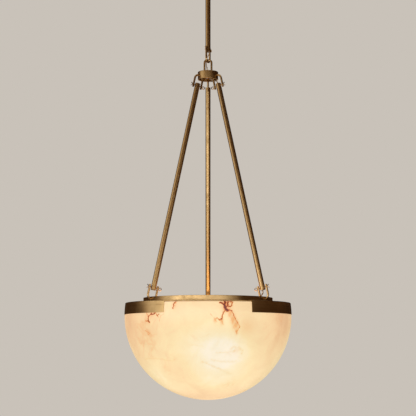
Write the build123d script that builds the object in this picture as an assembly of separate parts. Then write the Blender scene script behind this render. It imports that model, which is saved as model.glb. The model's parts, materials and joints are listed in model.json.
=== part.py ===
from build123d import *
import os
from math import cos, radians, sin, sqrt, tan

os.makedirs("parts", exist_ok=True)

# Alabaster bowl pendant, in millimetres. +Z is up, z = 0 is the ceiling, and the origin lies on the
# stem's axis. The front is towards -Y.

# ---- Bowl of turned alabaster: a little more than half a ball
BOWL_R = 228.6
BOWL_WALL = 12.0
BOWL_RIM_ABOVE_CENTRE = 29.7
BOWL_EDGE_CHAMFER = 1.0

# ---- Rim: flat plate, gasket, three turned-down tabs and the collar that stands on the plate
PLATE_T = 3.0
PLATE_LIP = 1.5
PLATE_EDGE_SET_BACK = 0.5
PLATE_EDGE_ROUND = 1.2
GASKET_T = 1.5
GASKET_W = 7.5
TAB_T = 3.0
TAB_DROP = 27.5
TAB_HALF_SPAN = 30.0
TAB_PROUD = 0.6
TAB_TOP_ROUND = 2.0
REBATE_CLEAR = 0.2
COLLAR_SET_IN = 51.1
COLLAR_WALL = 3.0
COLLAR_H = 14.0
COLLAR_TOP_ROUND = 0.8
COLLAR_FLANGE_W = 8.0
COLLAR_FLANGE_T = 2.5
COLLAR_HOLE_ABOVE_PLATE = 7.1
COLLAR_SCREW_COUNT = 6
COLLAR_SCREW_D = 4.0

# ---- Studs that hold the bowl to the tabs
STUD_D = 5.0
STUD_HOLE_D = 7.0
STUD_OFFSET_ANGLE = 14.0
STUD_ABOVE_CENTRE = 16.0
WASHER_D = 14.0
WASHER_T = 1.6
STUD_NUT_AF = 8.0
STUD_NUT_H = 4.0
STUD_TIP = 2.0
SEAT_GAP = 0.2

# ---- Rods and the round wire bails at their ends
ROD_AZIMUTHS = {"front_left": 210.0, "front_right": 330.0, "back": 90.0}
CORD_ROD = "front_right"
TUBE_D = 14.3
TUBE_WALL = 1.2
ROD_L = 596.0
BAIL_WIRE = 5.5
BAIL_LEG_SPACING = 25.0
BAIL_REACH = 32.0
PIN_TO_END = 6.5
BAIL_HOLE_CLEAR = 0.4

# ---- Split pins
PIN_D = 3.2
PIN_FIT = 0.08
PIN_HEAD_GAP = 0.4
PIN_SEAT = 0.3
PIN_EYE_R = 3.2
PIN_EYE_WIRE = 2.4
PIN_SPREAD_ANGLE = 42.0
PIN_SPREAD_L = 6.5
PIN_BEND_R = 3.0

# ---- Hub: an inverted shallow cup, and the bail on its top
HUB_R = 28.6
HUB_H = 22.0
HUB_WALL = 3.0
HUB_TOP_ROUND = 1.6
HUB_LIP_ROUND = 0.8
HUB_HOLE_ABOVE_LIP = 10.2
HUB_BAIL_SPACING = 19.6
HUB_BAIL_RISE = 34.4
HUB_BAIL_FLAT = 4.0
HUB_NUT_AF = 9.0
HUB_NUT_H = 4.0
HUB_CORD_X = -2.0
HUB_CORD_Y = 8.0
BUSHING_BORE_CLEAR = 0.15
BUSHING_WALL = 1.5
BUSHING_FLANGE = 1.2

# ---- Link between stem and hub, and the stem
LINK_REACH = 37.0
LINK_AZIMUTH = 247.0
CHAIN_CLEAR = 0.3
STEM_L = 305.0
STEM_PIN_ABOVE_END = 7.8

# ---- Crossbar, nipple and canopy at the ceiling
STRAP_L = 108.0
STRAP_W = 18.0
STRAP_T = 2.2
STRAP_DROP = 14.0
STRAP_MIDDLE_L = 52.0
STRAP_STEP_L = 8.0
STRAP_BEND_R = 2.6
SLOT_SPACING = 88.9
SLOT_L = 12.0
SLOT_W = 4.8
NIPPLE_D = 9.8
NIPPLE_BORE = 7.0
NIPPLE_TIP = 1.0
NIPPLE_NUT_AF = 14.0
NIPPLE_NUT_H = 4.0
STEM_TOP_GAP = 0.8
BUSH_L = 12.0
GROUND_SCREW_X = 19.0
GROUND_SCREW_D = 3.5
CANOPY_R = 65.0
CANOPY_H = 34.0
CANOPY_WALL = 1.2
CANOPY_ROUND = 9.0
CANOPY_HOLE_CLEAR = 0.5
SLIP_RING_R = 12.5
SLIP_RING_H = 11.0
SLIP_RING_ROUND = 1.5
THUMB_SCREW_D = 4.0
THUMB_HEAD_D = 9.0
THUMB_HEAD_L = 7.0
THUMB_HEAD_CHAMFER = 0.6
THUMB_SCREW_GAP = 2.0

# ---- Light kit: spider bracket, lampholders and bulbs
SPIDER_T = 3.0
SPIDER_ARM_W = 20.0
SPIDER_BOLT_OUTSIDE_COLLAR = 14.5
SPIDER_BOLT_TO_END = 10.0
SPIDER_STEP_INSIDE_PLATE = 5.0
SPIDER_STEP_L = 24.0
SPIDER_DROP = 28.0
SPIDER_DISC_R = 34.0
SPIDER_BEND_R = 5.0
SPIDER_BOLT_D = 5.0
SEAT_W = 34.0
SEAT_L = 36.0
LAMP_AZIMUTHS = {"front": 270.0, "right": 30.0, "left": 150.0}
LAMP_TILT = 35.0
HOLDER_R = 19.5
HOLDER_L = 38.0
HOLDER_MOUTH_R = 16.2
HOLDER_MOUTH_L = 6.0
HOLDER_BACK = 9.0
HOLDER_BACK_ROUND = 5.0
HOLDER_GROOVE = 0.7
HOLDER_NECK_D = 10.0
HOLDER_NECK_L = 9.0
HOLDER_NUT_AF = 14.0
HOLDER_NUT_H = 3.5
BULB_R = 30.0
BULB_L = 108.0
BULB_GLASS_T = 1.3
BULB_SEAM_R = 20.5
BULB_CAP_R = 13.2
BULB_CAP_L = 25.0
BULB_CAP_TIP = 3.0
BULB_BODY_STEP = 1.0
BULB_BODY_L = 22.0
BULB_TIP_GAP = 0.6
CAP_FIT = 0.3

# ---- Clear flex and its joints
CORD_D = 4.0
LEAD_D = 3.0
CORD_OFFSET = 3.8
CORD_OUT = 1.0
CORD_LIFT = 0.1
CORD_INSIDE_HUB_WALL = 5.1
CORD_INSIDE_COLLAR = 14.5
CORD_INSIDE_PLATE = 14.0
CORD_SWEEP_IN = 15.0
CORD_LANDING_IN = 33.0
CORD_OFF_DISC = 30.0
BLOCK_L = 22.0
BLOCK_W = 18.0
BLOCK_H = 10.0
BLOCK_WELL_R = 2.0
BLOCK_WELL_SPACING = 6.5
BLOCK_CORNER_R = 1.5
JUNCTION_AF = 22.0
JUNCTION_H = 9.0
SUPPLY_BLOCK_Y = 46.0
SUPPLY_BLOCK_Z = -24.0
SCREW_CLEAR = 0.1

# ---- Heights that follow from the sizes above
z_strap_top = -STRAP_DROP
z_strap_under = z_strap_top - STRAP_T
z_nipple_top = z_strap_top + NIPPLE_NUT_H + NIPPLE_TIP
z_stem_top = z_strap_under - NIPPLE_NUT_H - STEM_TOP_GAP
z_stem_end = z_stem_top - STEM_L
z_stem_pin = z_stem_end + STEM_PIN_ABOVE_END
z_link_bottom = z_stem_pin - LINK_REACH
z_hub_bail_top = z_link_bottom + BAIL_WIRE + CHAIN_CLEAR
z_hub_top = z_hub_bail_top - HUB_BAIL_RISE
z_hub_lip = z_hub_top - HUB_H
z_hub_hole = z_hub_lip + HUB_HOLE_ABOVE_LIP
hub_hole_r = HUB_R - HUB_WALL / 2
collar_r = BOWL_R - COLLAR_SET_IN
collar_inner_r = collar_r - COLLAR_WALL
collar_hole_r = collar_r - COLLAR_WALL / 2
plate_inner_r = collar_inner_r - COLLAR_FLANGE_W - PLATE_LIP
spider_bolt_r = collar_r + SPIDER_BOLT_OUTSIDE_COLLAR
spider_step_r = plate_inner_r - SPIDER_STEP_INSIDE_PLATE
span = ROD_L - 2 * PIN_TO_END + 2 * BAIL_REACH
spread = collar_hole_r - hub_hole_r
z_collar_hole = z_hub_hole - sqrt(span**2 - spread**2)
z_plate_top = z_collar_hole - COLLAR_HOLE_ABOVE_PLATE
z_plate_under = z_plate_top - PLATE_T
z_collar_top = z_plate_top + COLLAR_H
z_bowl_rim = z_plate_under - GASKET_T
z_bowl_centre = z_bowl_rim - BOWL_RIM_ABOVE_CENTRE
z_spider = z_plate_under - SPIDER_DROP

collar_screw_r = collar_inner_r - COLLAR_FLANGE_W / 2
collar_screw_azimuths = [i * 360 / COLLAR_SCREW_COUNT for i in range(COLLAR_SCREW_COUNT)]
z_tab_low = z_bowl_rim - TAB_DROP
tab_outer = BOWL_R + TAB_PROUD
tab_inner = tab_outer - TAB_T
stud_z = z_bowl_centre + STUD_ABOVE_CENTRE
stud_azimuths = [a + side * STUD_OFFSET_ANGLE for a in ROD_AZIMUTHS.values() for side in (-1, 1)]
z_spider_mid = z_spider - SPIDER_T / 2
seat_mid_r = SPIDER_DISC_R + SEAT_L / 2 * cos(radians(LAMP_TILT))
seat_mid_z = z_spider_mid + SEAT_L / 2 * sin(radians(LAMP_TILT))

tilt_sin = spread / span
tilt_cos = sqrt(1 - tilt_sin**2)
tilt_tan = tilt_sin / tilt_cos
tube_inner_r = TUBE_D / 2 - TUBE_WALL
pin_hole_r = PIN_D / 2 + PIN_FIT
link_axis = Vector(cos(radians(LINK_AZIMUTH)), sin(radians(LINK_AZIMUTH)), 0)
cord_side = Vector(link_axis.Y, -link_axis.X, 0)
tab_notch_r = sqrt((BOWL_R + TAB_PROUD - TAB_T)**2 - (z_plate_top - z_bowl_centre)**2)
bushing_r = CORD_D / 2 + BUSHING_BORE_CLEAR + BUSHING_WALL
plate_r = sqrt(BOWL_R**2 - BOWL_RIM_ABOVE_CENTRE**2) - PLATE_EDGE_SET_BACK
up = Vector(0, 0, 1)


def save(name, shape):
    """Write one node; a list becomes a group of separate solids."""
    solids = [s for item in (shape if isinstance(shape, list) else [shape]) for s in item.solids()]
    node = solids[0] if len(solids) == 1 else Compound(children=solids)
    node.label = name
    export_step(node, f"parts/{name}.step")


def radial(azimuth):
    """Unit vectors outward and anticlockwise at an azimuth in degrees."""
    a = radians(azimuth)
    return Vector(cos(a), sin(a), 0), Vector(-sin(a), cos(a), 0)


def put(shape, origin, x_dir, z_dir):
    """Carry a shape from its own frame to a place in the pendant."""
    return Plane(origin=origin, x_dir=x_dir, z_dir=z_dir).location * shape


def disc(radius, height, z_low):
    """Upright cylinder on the axis, standing on z_low."""
    return Pos(0, 0, z_low + height / 2) * Cylinder(radius, height)


def ring(outer_r, inner_r, height, z_low):
    """Upright ring on the axis, standing on z_low."""
    return disc(outer_r, height, z_low) - disc(inner_r, height, z_low)


def lathe(edges, arc=360.0, start=0.0):
    """Turn a closed outline of (radius, z) edges about the axis."""
    return Rot(Z=start) * revolve(Plane.XZ * make_face(edges), Axis.Z, arc)


def hex_nut(across_flats, height, bore):
    """Hexagon nut standing on its own origin, bore upright."""
    body = extrude(RegularPolygon(across_flats / 2, 6, major_radius=False), height)
    return body - Pos(0, 0, height / 2) * Cylinder(bore / 2, height)


def pan_screw(shank_d, shank_l, head_d, head_h):
    """Pan-head screw, shank down from its own origin, head above it."""
    head = Pos(0, 0, head_h / 2) * Cylinder(head_d / 2, head_h)
    head = fillet(head.edges().sort_by(Axis.Z)[-1], head_h * 0.45)
    slot = Pos(0, 0, head_h) * Box(head_d, head_d * 0.14, head_h * 0.6)
    return head - slot + Pos(0, 0, -shank_l / 2) * Cylinder(shank_d / 2, shank_l)


def bent_strap(points, width, thickness, bend_r):
    """Flat strap that follows (x, z) centre points, centred on y = 0."""
    line = FilletPolyline(*points, radius=bend_r)
    return extrude(Plane.XZ * trace(line, line_width=thickness), width / 2, both=True)


# ---- Bails, pins and rods: local X is across the bail, local -Y is the way its legs point

def bail(leg_spacing, leg_l, corner_r):
    """U of round wire whose crown's centre line passes through the origin."""
    half = leg_spacing / 2
    outline = [(-half, -leg_l), (-half, 0), (half, 0), (half, -leg_l)]
    path = FilletPolyline(*outline, radius=corner_r)
    return sweep(Plane(origin=path @ 0, z_dir=path % 0) * Circle(BAIL_WIRE / 2), path=path)


def cross_hole(radius, length, y):
    """Cylinder along X through a bail's legs or a tube, to cut with."""
    return Pos(0, y, 0) * Rot(Y=90) * Cylinder(radius, length)


def rod_bail():
    """Bail drilled for its split pin, as used at both rod ends."""
    wire = bail(BAIL_LEG_SPACING, BAIL_REACH + PIN_TO_END, BAIL_LEG_SPACING / 2 - 0.01)
    return wire - cross_hole(pin_hole_r, 2 * BAIL_LEG_SPACING, -BAIL_REACH)


def split_pin():
    """Split pin along X: eye at -X, two spread half-round tips at +X."""
    grip = BAIL_LEG_SPACING / 2 + BAIL_WIRE / 2 + PIN_HEAD_GAP
    head_l = PIN_EYE_WIRE / 2
    shank = Pos(-head_l / 2, 0, 0) * Rot(Y=90) * Cylinder(PIN_D / 2, 2 * grip + head_l)
    eye_x = -grip - head_l - PIN_EYE_R + PIN_SEAT
    eye = Pos(eye_x, 0, 0) * Torus(PIN_EYE_R, PIN_EYE_WIRE / 2)
    slant = radians(PIN_SPREAD_ANGLE)
    elbow_x = grip + PIN_BEND_R * tan(slant / 2)
    tip = (elbow_x + PIN_SPREAD_L * cos(slant), PIN_SPREAD_L * sin(slant))
    path = FilletPolyline((grip, 0), (elbow_x, 0), tip, radius=PIN_BEND_R * 0.99)
    half_round = Circle(PIN_D / 2) & Pos(0, PIN_D / 2, 0) * Rectangle(2 * PIN_D, PIN_D)
    section = Plane(origin=(grip, 0, 0), x_dir=(0, 0, -1), z_dir=(1, 0, 0)) * half_round
    prong = sweep(section, path=path)
    return shank + eye + prong + mirror(prong, Plane.XZ)


def tube(length):
    """Brass tube along Y, centred on its own origin."""
    body = Rot(X=90) * Cylinder(TUBE_D / 2, length)
    return body - Rot(X=90) * Cylinder(tube_inner_r, length)


def rod():
    """Straight tube with a cross hole for the split pin near each end."""
    pin_y = ROD_L / 2 - PIN_TO_END
    holes = cross_hole(pin_hole_r, 2 * TUBE_D, pin_y) + cross_hole(pin_hole_r, 2 * TUBE_D, -pin_y)
    return tube(ROD_L) - holes


def rod_line(azimuth):
    """Hub hole, collar hole, direction down the rod and outward normal for one rod."""
    out, _ = radial(azimuth)
    hub_point = out * hub_hole_r + up * z_hub_hole
    collar_point = out * collar_hole_r + up * z_collar_hole
    down = out * tilt_sin - up * tilt_cos
    normal = out * tilt_cos + up * tilt_sin
    return hub_point, collar_point, down, normal


def bail_hole(azimuth, wall_r, wall, z):
    """Radial drill through a round wall, wide enough for a tilted bail wire."""
    out, _ = radial(azimuth)
    hole_r = BAIL_WIRE / 2 / tilt_cos + wall / 2 * tilt_tan + BAIL_HOLE_CLEAR
    drill = Cylinder(hole_r, 4 * wall)
    return put(drill, out * wall_r + up * z, up, out)


def make_rods():
    """Three rods, each with a bail and a split pin at both ends."""
    for side, azimuth in ROD_AZIMUTHS.items():
        hub_point, collar_point, down, normal = rod_line(azimuth)
        across_up, across_down = normal.cross(down * -1), normal.cross(down)
        save(f"rod_{side}", put(rod(), (hub_point + collar_point) * 0.5, normal, across_up))
        save(f"upper_bail_{side}", put(rod_bail(), hub_point, normal, across_up))
        save(f"lower_bail_{side}", put(rod_bail(), collar_point, normal, across_down))
        save(f"upper_pin_{side}", put(split_pin(), hub_point + down * BAIL_REACH, normal, across_up))
        save(f"lower_pin_{side}", put(split_pin(), collar_point - down * BAIL_REACH, normal, across_down))


# ---- Hub and link

def make_hub():
    """Inverted cup, its bail with two nuts, and the flex bushing."""
    cup = disc(HUB_R, HUB_H, z_hub_lip) - disc(HUB_R - HUB_WALL, HUB_H - HUB_WALL, z_hub_lip)
    circles = cup.edges().filter_by(GeomType.CIRCLE).sort_by(Axis.Z)
    rim_edges = [e for e in circles if abs(e.radius - HUB_R) < 0.01]
    cup = fillet(rim_edges[-1], HUB_TOP_ROUND)
    lip = [e for e in cup.edges().filter_by(GeomType.CIRCLE)
           if abs(e.center().Z - z_hub_lip) < 0.01 and abs(e.radius - HUB_R) < 0.01]
    cup = fillet(lip, HUB_LIP_ROUND)
    for azimuth in ROD_AZIMUTHS.values():
        cup -= bail_hole(azimuth, hub_hole_r, HUB_WALL, z_hub_hole)
    plate_mid = z_hub_top - HUB_WALL / 2
    for x in (-HUB_BAIL_SPACING / 2, HUB_BAIL_SPACING / 2):
        cup -= Pos(x, 0, plate_mid) * Cylinder(BAIL_WIRE / 2 + SCREW_CLEAR, 2 * HUB_WALL)
    cup -= Pos(HUB_CORD_X, HUB_CORD_Y, plate_mid) * Cylinder(bushing_r + SCREW_CLEAR, 2 * HUB_WALL)
    save("hub_cup", cup)

    leg_l = HUB_BAIL_RISE + HUB_WALL + HUB_NUT_H
    corner_r = (HUB_BAIL_SPACING - HUB_BAIL_FLAT) / 2
    wire = bail(HUB_BAIL_SPACING, leg_l, corner_r)
    save("hub_bail", put(wire, (0, 0, z_hub_bail_top), (1, 0, 0), (0, -1, 0)))
    nut = hex_nut(HUB_NUT_AF, HUB_NUT_H, BAIL_WIRE + 2 * SCREW_CLEAR)
    z_nut = z_hub_top - HUB_WALL - HUB_NUT_H
    save("hub_bail_nuts", [Pos(x, 0, z_nut) * nut for x in (-HUB_BAIL_SPACING / 2, HUB_BAIL_SPACING / 2)])

    sleeve_h = HUB_WALL + 2 * BUSHING_FLANGE
    z_sleeve = z_hub_top - HUB_WALL - BUSHING_FLANGE
    sleeve = disc(bushing_r, sleeve_h, z_sleeve)
    for z in (z_sleeve, z_hub_top):
        sleeve += disc(bushing_r + BUSHING_FLANGE, BUSHING_FLANGE, z)
    sleeve -= disc(CORD_D / 2 + BUSHING_BORE_CLEAR, sleeve_h, z_sleeve)
    save("cord_bushing", Pos(HUB_CORD_X, HUB_CORD_Y, 0) * sleeve)


def make_link():
    """Bail that hangs on the stem's pin with its legs up."""
    link = put(rod_link(), (0, 0, z_link_bottom), link_axis, link_axis.cross(up * -1))
    save("link_bail", link)


def rod_link():
    """Longer bail for the stem, drilled like the rods' bails."""
    wire = bail(BAIL_LEG_SPACING, LINK_REACH + PIN_TO_END, BAIL_LEG_SPACING / 2 - 0.01)
    return wire - cross_hole(pin_hole_r, 2 * BAIL_LEG_SPACING, -LINK_REACH)


# ---- Stem, crossbar and canopy

def make_stem():
    """Stem tube with its split pin, threaded bush, nipple and nuts."""
    body = ring(TUBE_D / 2, tube_inner_r, STEM_L, z_stem_end)
    drill = Cylinder(pin_hole_r, 2 * TUBE_D)
    body -= put(drill, (0, 0, z_stem_pin), up, link_axis)
    save("stem_tube", body)
    save("stem_pin", put(split_pin(), (0, 0, z_stem_pin), link_axis, link_axis.cross(up)))
    save("stem_bush", ring(tube_inner_r, NIPPLE_D / 2, BUSH_L, z_stem_top - BUSH_L))
    nipple_l = z_nipple_top - (z_stem_top - BUSH_L)
    save("stem_nipple", ring(NIPPLE_D / 2, NIPPLE_BORE / 2, nipple_l, z_stem_top - BUSH_L))
    nut = hex_nut(NIPPLE_NUT_AF, NIPPLE_NUT_H, NIPPLE_D)
    save("nipple_nuts", [Pos(0, 0, z_strap_top) * nut, Pos(0, 0, z_strap_under - NIPPLE_NUT_H) * nut])


def make_crossbar():
    """Stepped strap with a mounting slot at each end, and its ground screw."""
    z_end, z_mid = -STRAP_T / 2, z_strap_top - STRAP_T / 2
    half, mid = STRAP_L / 2, STRAP_MIDDLE_L / 2
    step = mid + STRAP_STEP_L
    points = [(-half, z_end), (-step, z_end), (-mid, z_mid), (mid, z_mid), (step, z_end), (half, z_end)]
    strap = bent_strap(points, STRAP_W, STRAP_T, STRAP_BEND_R)
    for x in (-SLOT_SPACING / 2, SLOT_SPACING / 2):
        strap -= Pos(x, 0, -2 * STRAP_T) * extrude(SlotOverall(SLOT_L, SLOT_W), 4 * STRAP_T)
    strap -= Pos(0, 0, z_mid) * Cylinder(NIPPLE_D / 2 + SCREW_CLEAR, 2 * STRAP_T)
    strap -= Pos(GROUND_SCREW_X, 0, z_mid) * Cylinder(GROUND_SCREW_D / 2, 2 * STRAP_T)
    save("crossbar", strap)
    screw = pan_screw(GROUND_SCREW_D, 3 * STRAP_T, 2 * GROUND_SCREW_D, STRAP_T)
    save("ground_screw", Pos(GROUND_SCREW_X, 0, z_strap_under) * Rot(X=180) * screw)


def make_canopy():
    """Ceiling cup with its slip ring and thumb screw, all free to slide down the stem."""
    shell = disc(CANOPY_R, CANOPY_H, -CANOPY_H)
    shell = fillet(shell.edges().sort_by(Axis.Z)[0], CANOPY_ROUND)
    hollow = disc(CANOPY_R - CANOPY_WALL, CANOPY_H, CANOPY_WALL - CANOPY_H)
    hollow = fillet(hollow.edges().sort_by(Axis.Z)[0], CANOPY_ROUND - CANOPY_WALL)
    hole = disc(TUBE_D / 2 + CANOPY_HOLE_CLEAR, 4 * CANOPY_WALL, -CANOPY_H - 2 * CANOPY_WALL)
    save("canopy_cup", shell - hollow - hole)
    z_ring = -CANOPY_H - SLIP_RING_H
    collar = disc(SLIP_RING_R, SLIP_RING_H, z_ring)
    collar = fillet(collar.edges().sort_by(Axis.Z)[0], SLIP_RING_ROUND)
    collar -= disc(TUBE_D / 2 + PIN_FIT, SLIP_RING_H, z_ring)
    z_screw = z_ring + SLIP_RING_H / 2
    collar -= put(Cylinder(THUMB_SCREW_D / 2, 2 * SLIP_RING_R), (0, SLIP_RING_R, z_screw),
                  (1, 0, 0), (0, 1, 0))
    save("canopy_collar", collar)
    shank_l = SLIP_RING_R - TUBE_D / 2 - PIN_FIT + THUMB_SCREW_GAP
    shank = Pos(0, 0, shank_l / 2) * Cylinder(THUMB_SCREW_D / 2, shank_l)
    head = Pos(0, 0, shank_l + THUMB_HEAD_L / 2) * Cylinder(THUMB_HEAD_D / 2, THUMB_HEAD_L)
    head = chamfer(head.edges(), THUMB_HEAD_CHAMFER)
    screw = put(shank + head, (0, TUBE_D / 2 + PIN_FIT, z_screw), (1, 0, 0), (0, 1, 0))
    save("collar_screw", screw)


# ---- Rim and bowl: outlines in (radius, z)

def bowl_r_at(radius, z):
    """Radius of a ball about the bowl's centre at a height z."""
    return sqrt(radius**2 - (z - z_bowl_centre)**2)


def ball_arc(radius, z_from, z_to):
    """Arc of a ball's outline between two heights."""
    z_mid = (z_from + z_to) / 2
    return ThreePointArc(*[(bowl_r_at(radius, z), z) for z in (z_from, z_mid, z_to)])


def tab_band(outer, inner, z_low, z_high, half_span, azimuth):
    """Part ring between two balls, centred on an azimuth."""
    edges = [ball_arc(outer, z_low, z_high),
             Line((bowl_r_at(outer, z_high), z_high), (bowl_r_at(inner, z_high), z_high)),
             ball_arc(inner, z_high, z_low),
             Line((bowl_r_at(inner, z_low), z_low), (bowl_r_at(outer, z_low), z_low))]
    return lathe(edges, 2 * half_span, azimuth - half_span)


def make_rim():
    """Plate, three tabs, gasket and collar."""
    edge = FilletPolyline((plate_inner_r, z_plate_under), (plate_r, z_plate_under), (plate_r, z_plate_top),
                          (plate_inner_r, z_plate_top), radius=PLATE_EDGE_ROUND)
    plate = lathe([edge, Line(edge @ 1, edge @ 0)])
    for azimuth in ROD_AZIMUTHS.values():
        notch = tab_band(tab_outer + TAB_T, tab_inner, z_plate_under - 1, z_plate_top + 1,
                         TAB_HALF_SPAN, azimuth)
        plate -= notch
        plate -= spider_bolt_hole(azimuth)
    for azimuth in collar_screw_azimuths:
        out, _ = radial(azimuth)
        plate -= Pos(out * collar_screw_r + up * z_plate_top) * Cylinder(COLLAR_SCREW_D / 2, 3 * PLATE_T)
    save("rim_plate", plate)

    for side, azimuth in ROD_AZIMUTHS.items():
        tab = tab_band(tab_outer, tab_inner, z_tab_low, z_plate_top, TAB_HALF_SPAN, azimuth)
        crest = [e for e in tab.edges().filter_by(GeomType.CIRCLE)
                 if abs(e.center().Z - z_plate_top) < 0.01
                 and e.radius > bowl_r_at(tab_inner, z_plate_top) + 0.5]
        save(f"rim_tab_{side}", fillet(crest, TAB_TOP_ROUND))

    gasket_out = tab_notch_r - REBATE_CLEAR
    save("rim_gasket", ring(gasket_out, gasket_out - GASKET_W, GASKET_T, z_bowl_rim))

    collar = ring(collar_r, collar_inner_r, COLLAR_H, z_plate_top)
    top_edges = [e for e in collar.edges().filter_by(GeomType.CIRCLE)
                 if abs(e.center().Z - z_collar_top) < 0.01]
    collar = fillet(top_edges, COLLAR_TOP_ROUND)
    collar += ring(collar_inner_r, collar_inner_r - COLLAR_FLANGE_W, COLLAR_FLANGE_T, z_plate_top)
    for azimuth in ROD_AZIMUTHS.values():
        collar -= bail_hole(azimuth, collar_hole_r, COLLAR_WALL, z_collar_hole)
    screw_l = COLLAR_FLANGE_T + PLATE_T
    screws = []
    for azimuth in collar_screw_azimuths:
        out, _ = radial(azimuth)
        spot = out * collar_screw_r + up * (z_plate_top + COLLAR_FLANGE_T)
        collar -= Pos(spot) * Cylinder(COLLAR_SCREW_D / 2 + SCREW_CLEAR, 2 * COLLAR_FLANGE_T)
        screws.append(Pos(spot) * pan_screw(COLLAR_SCREW_D, screw_l, 1.6 * COLLAR_SCREW_D, 2.2))
    save("collar_ring", collar)
    save("collar_screws", screws)


def stud_drill(diameter, r_from, r_to, azimuth):
    """Radial cylinder at a stud's height between two radii."""
    out, _ = radial(azimuth)
    middle = out * ((r_from + r_to) / 2) + up * stud_z
    return put(Cylinder(diameter / 2, abs(r_to - r_from)), middle, up, out)


def make_bowl():
    """Alabaster bowl with three rebates for the tabs and six stud holes."""
    outer, inner, c = BOWL_R, BOWL_R - BOWL_WALL, BOWL_EDGE_CHAMFER
    z_cut = z_bowl_rim - c
    out_r, in_r = bowl_r_at(outer, z_cut), bowl_r_at(inner, z_cut)
    root = sqrt(0.5)
    edges = [
        ThreePointArc((0, z_bowl_centre - outer), (outer * root, z_bowl_centre - outer * root),
                      (outer, z_bowl_centre)),
        ball_arc(outer, z_bowl_centre, z_cut),
        Line((out_r, z_cut), (out_r - c, z_bowl_rim)),
        Line((out_r - c, z_bowl_rim), (in_r + c, z_bowl_rim)),
        Line((in_r + c, z_bowl_rim), (in_r, z_cut)),
        ball_arc(inner, z_cut, z_bowl_centre),
        ThreePointArc((inner, z_bowl_centre), (inner * root, z_bowl_centre - inner * root),
                      (0, z_bowl_centre - inner)),
        Line((0, z_bowl_centre - inner), (0, z_bowl_centre - outer)),
    ]
    bowl = lathe(edges)
    clear_angle = REBATE_CLEAR / BOWL_R * 57.3
    for azimuth in ROD_AZIMUTHS.values():
        bowl -= tab_band(tab_outer + TAB_T, tab_inner - REBATE_CLEAR, z_tab_low - REBATE_CLEAR,
                         z_bowl_rim + GASKET_T, TAB_HALF_SPAN + clear_angle, azimuth)
    wall_r = bowl_r_at(inner, stud_z)
    r_stud_head = bowl_r_at(tab_inner, stud_z + STUD_D / 2) - SCREW_CLEAR
    studs, washers, nuts = [], [], []
    r_washer = bowl_r_at(inner, stud_z + WASHER_D / 2) - WASHER_D**2 / (8 * inner) - SEAT_GAP
    r_nut = r_washer - WASHER_T
    r_tip = r_nut - STUD_NUT_H - STUD_TIP
    for azimuth in stud_azimuths:
        bowl -= stud_drill(STUD_HOLE_D, wall_r - BOWL_WALL, BOWL_R, azimuth)
        studs.append(stud_drill(STUD_D, r_tip, r_stud_head, azimuth))
        washers.append(stud_drill(WASHER_D, r_nut, r_washer, azimuth)
                       - stud_drill(STUD_D + 2 * SCREW_CLEAR, r_nut - WASHER_T, r_washer + WASHER_T, azimuth))
        out, _ = radial(azimuth)
        nut = hex_nut(STUD_NUT_AF, STUD_NUT_H, STUD_D)
        nuts.append(put(nut, out * (r_nut - STUD_NUT_H) + up * stud_z, up, out))
    save("alabaster_bowl", bowl)
    save("tab_studs", studs)
    save("tab_washers", washers)
    save("tab_nuts", nuts)


# ---- Light kit

def spider_bolt_hole(azimuth):
    """Upright drill for a spider bolt through the plate and the arm."""
    out, _ = radial(azimuth)
    hole = Cylinder(SPIDER_BOLT_D / 2 + SCREW_CLEAR, 4 * PLATE_T)
    return Pos(out * spider_bolt_r + up * z_plate_under) * hole


def lamp_frame(azimuth):
    """Middle of a lamp's tilted seat, the way the lamp points, and a direction across it."""
    out, across = radial(azimuth)
    axis = out * sin(radians(LAMP_TILT)) - up * cos(radians(LAMP_TILT))
    return out * seat_mid_r + up * seat_mid_z, axis, across


def make_spider():
    """Bracket of three stepped arms, a middle disc and three tilted lamp seats."""
    z_arm = z_plate_under - SPIDER_T / 2
    step_out = spider_step_r + SPIDER_STEP_L / 2
    step_in = spider_step_r - SPIDER_STEP_L / 2
    arm_end_r = spider_bolt_r + SPIDER_BOLT_TO_END
    half_disc = SPIDER_DISC_R / 2
    bracket = disc(SPIDER_DISC_R, SPIDER_T, z_spider - SPIDER_T)
    arm = bent_strap([(half_disc, z_spider_mid), (step_in, z_spider_mid), (step_out, z_arm),
                      (arm_end_r, z_arm)], SPIDER_ARM_W, SPIDER_T, SPIDER_BEND_R)
    seat_run = SEAT_L * cos(radians(LAMP_TILT))
    seat_rise = SEAT_L * sin(radians(LAMP_TILT))
    seat = bent_strap([(half_disc, z_spider_mid), (SPIDER_DISC_R, z_spider_mid),
                       (SPIDER_DISC_R + seat_run, z_spider_mid + seat_rise)], SEAT_W, SPIDER_T, SPIDER_BEND_R)
    bolts = []
    for azimuth in ROD_AZIMUTHS.values():
        bracket += Rot(Z=azimuth) * arm
    for azimuth in LAMP_AZIMUTHS.values():
        bracket += Rot(Z=azimuth) * seat
    for azimuth in LAMP_AZIMUTHS.values():
        middle, axis, across = lamp_frame(azimuth)
        bracket -= put(Cylinder(HOLDER_NECK_D / 2 + SCREW_CLEAR, 4 * SPIDER_T), middle, across, axis)
    nut = hex_nut(1.6 * SPIDER_BOLT_D, 0.8 * SPIDER_BOLT_D, SPIDER_BOLT_D)
    bolt_l = PLATE_T + SPIDER_T + SPIDER_BOLT_D
    for azimuth in ROD_AZIMUTHS.values():
        bracket -= spider_bolt_hole(azimuth)
        out, _ = radial(azimuth)
        spot = out * spider_bolt_r
        bolts.append(Pos(spot + up * z_plate_top)
                     * pan_screw(SPIDER_BOLT_D, bolt_l, 1.8 * SPIDER_BOLT_D, 2.4))
        bolts.append(Pos(spot + up * (z_plate_under - SPIDER_T - 0.8 * SPIDER_BOLT_D)) * nut)
    save("spider_bracket", bracket)
    save("spider_bolts", bolts)


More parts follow.
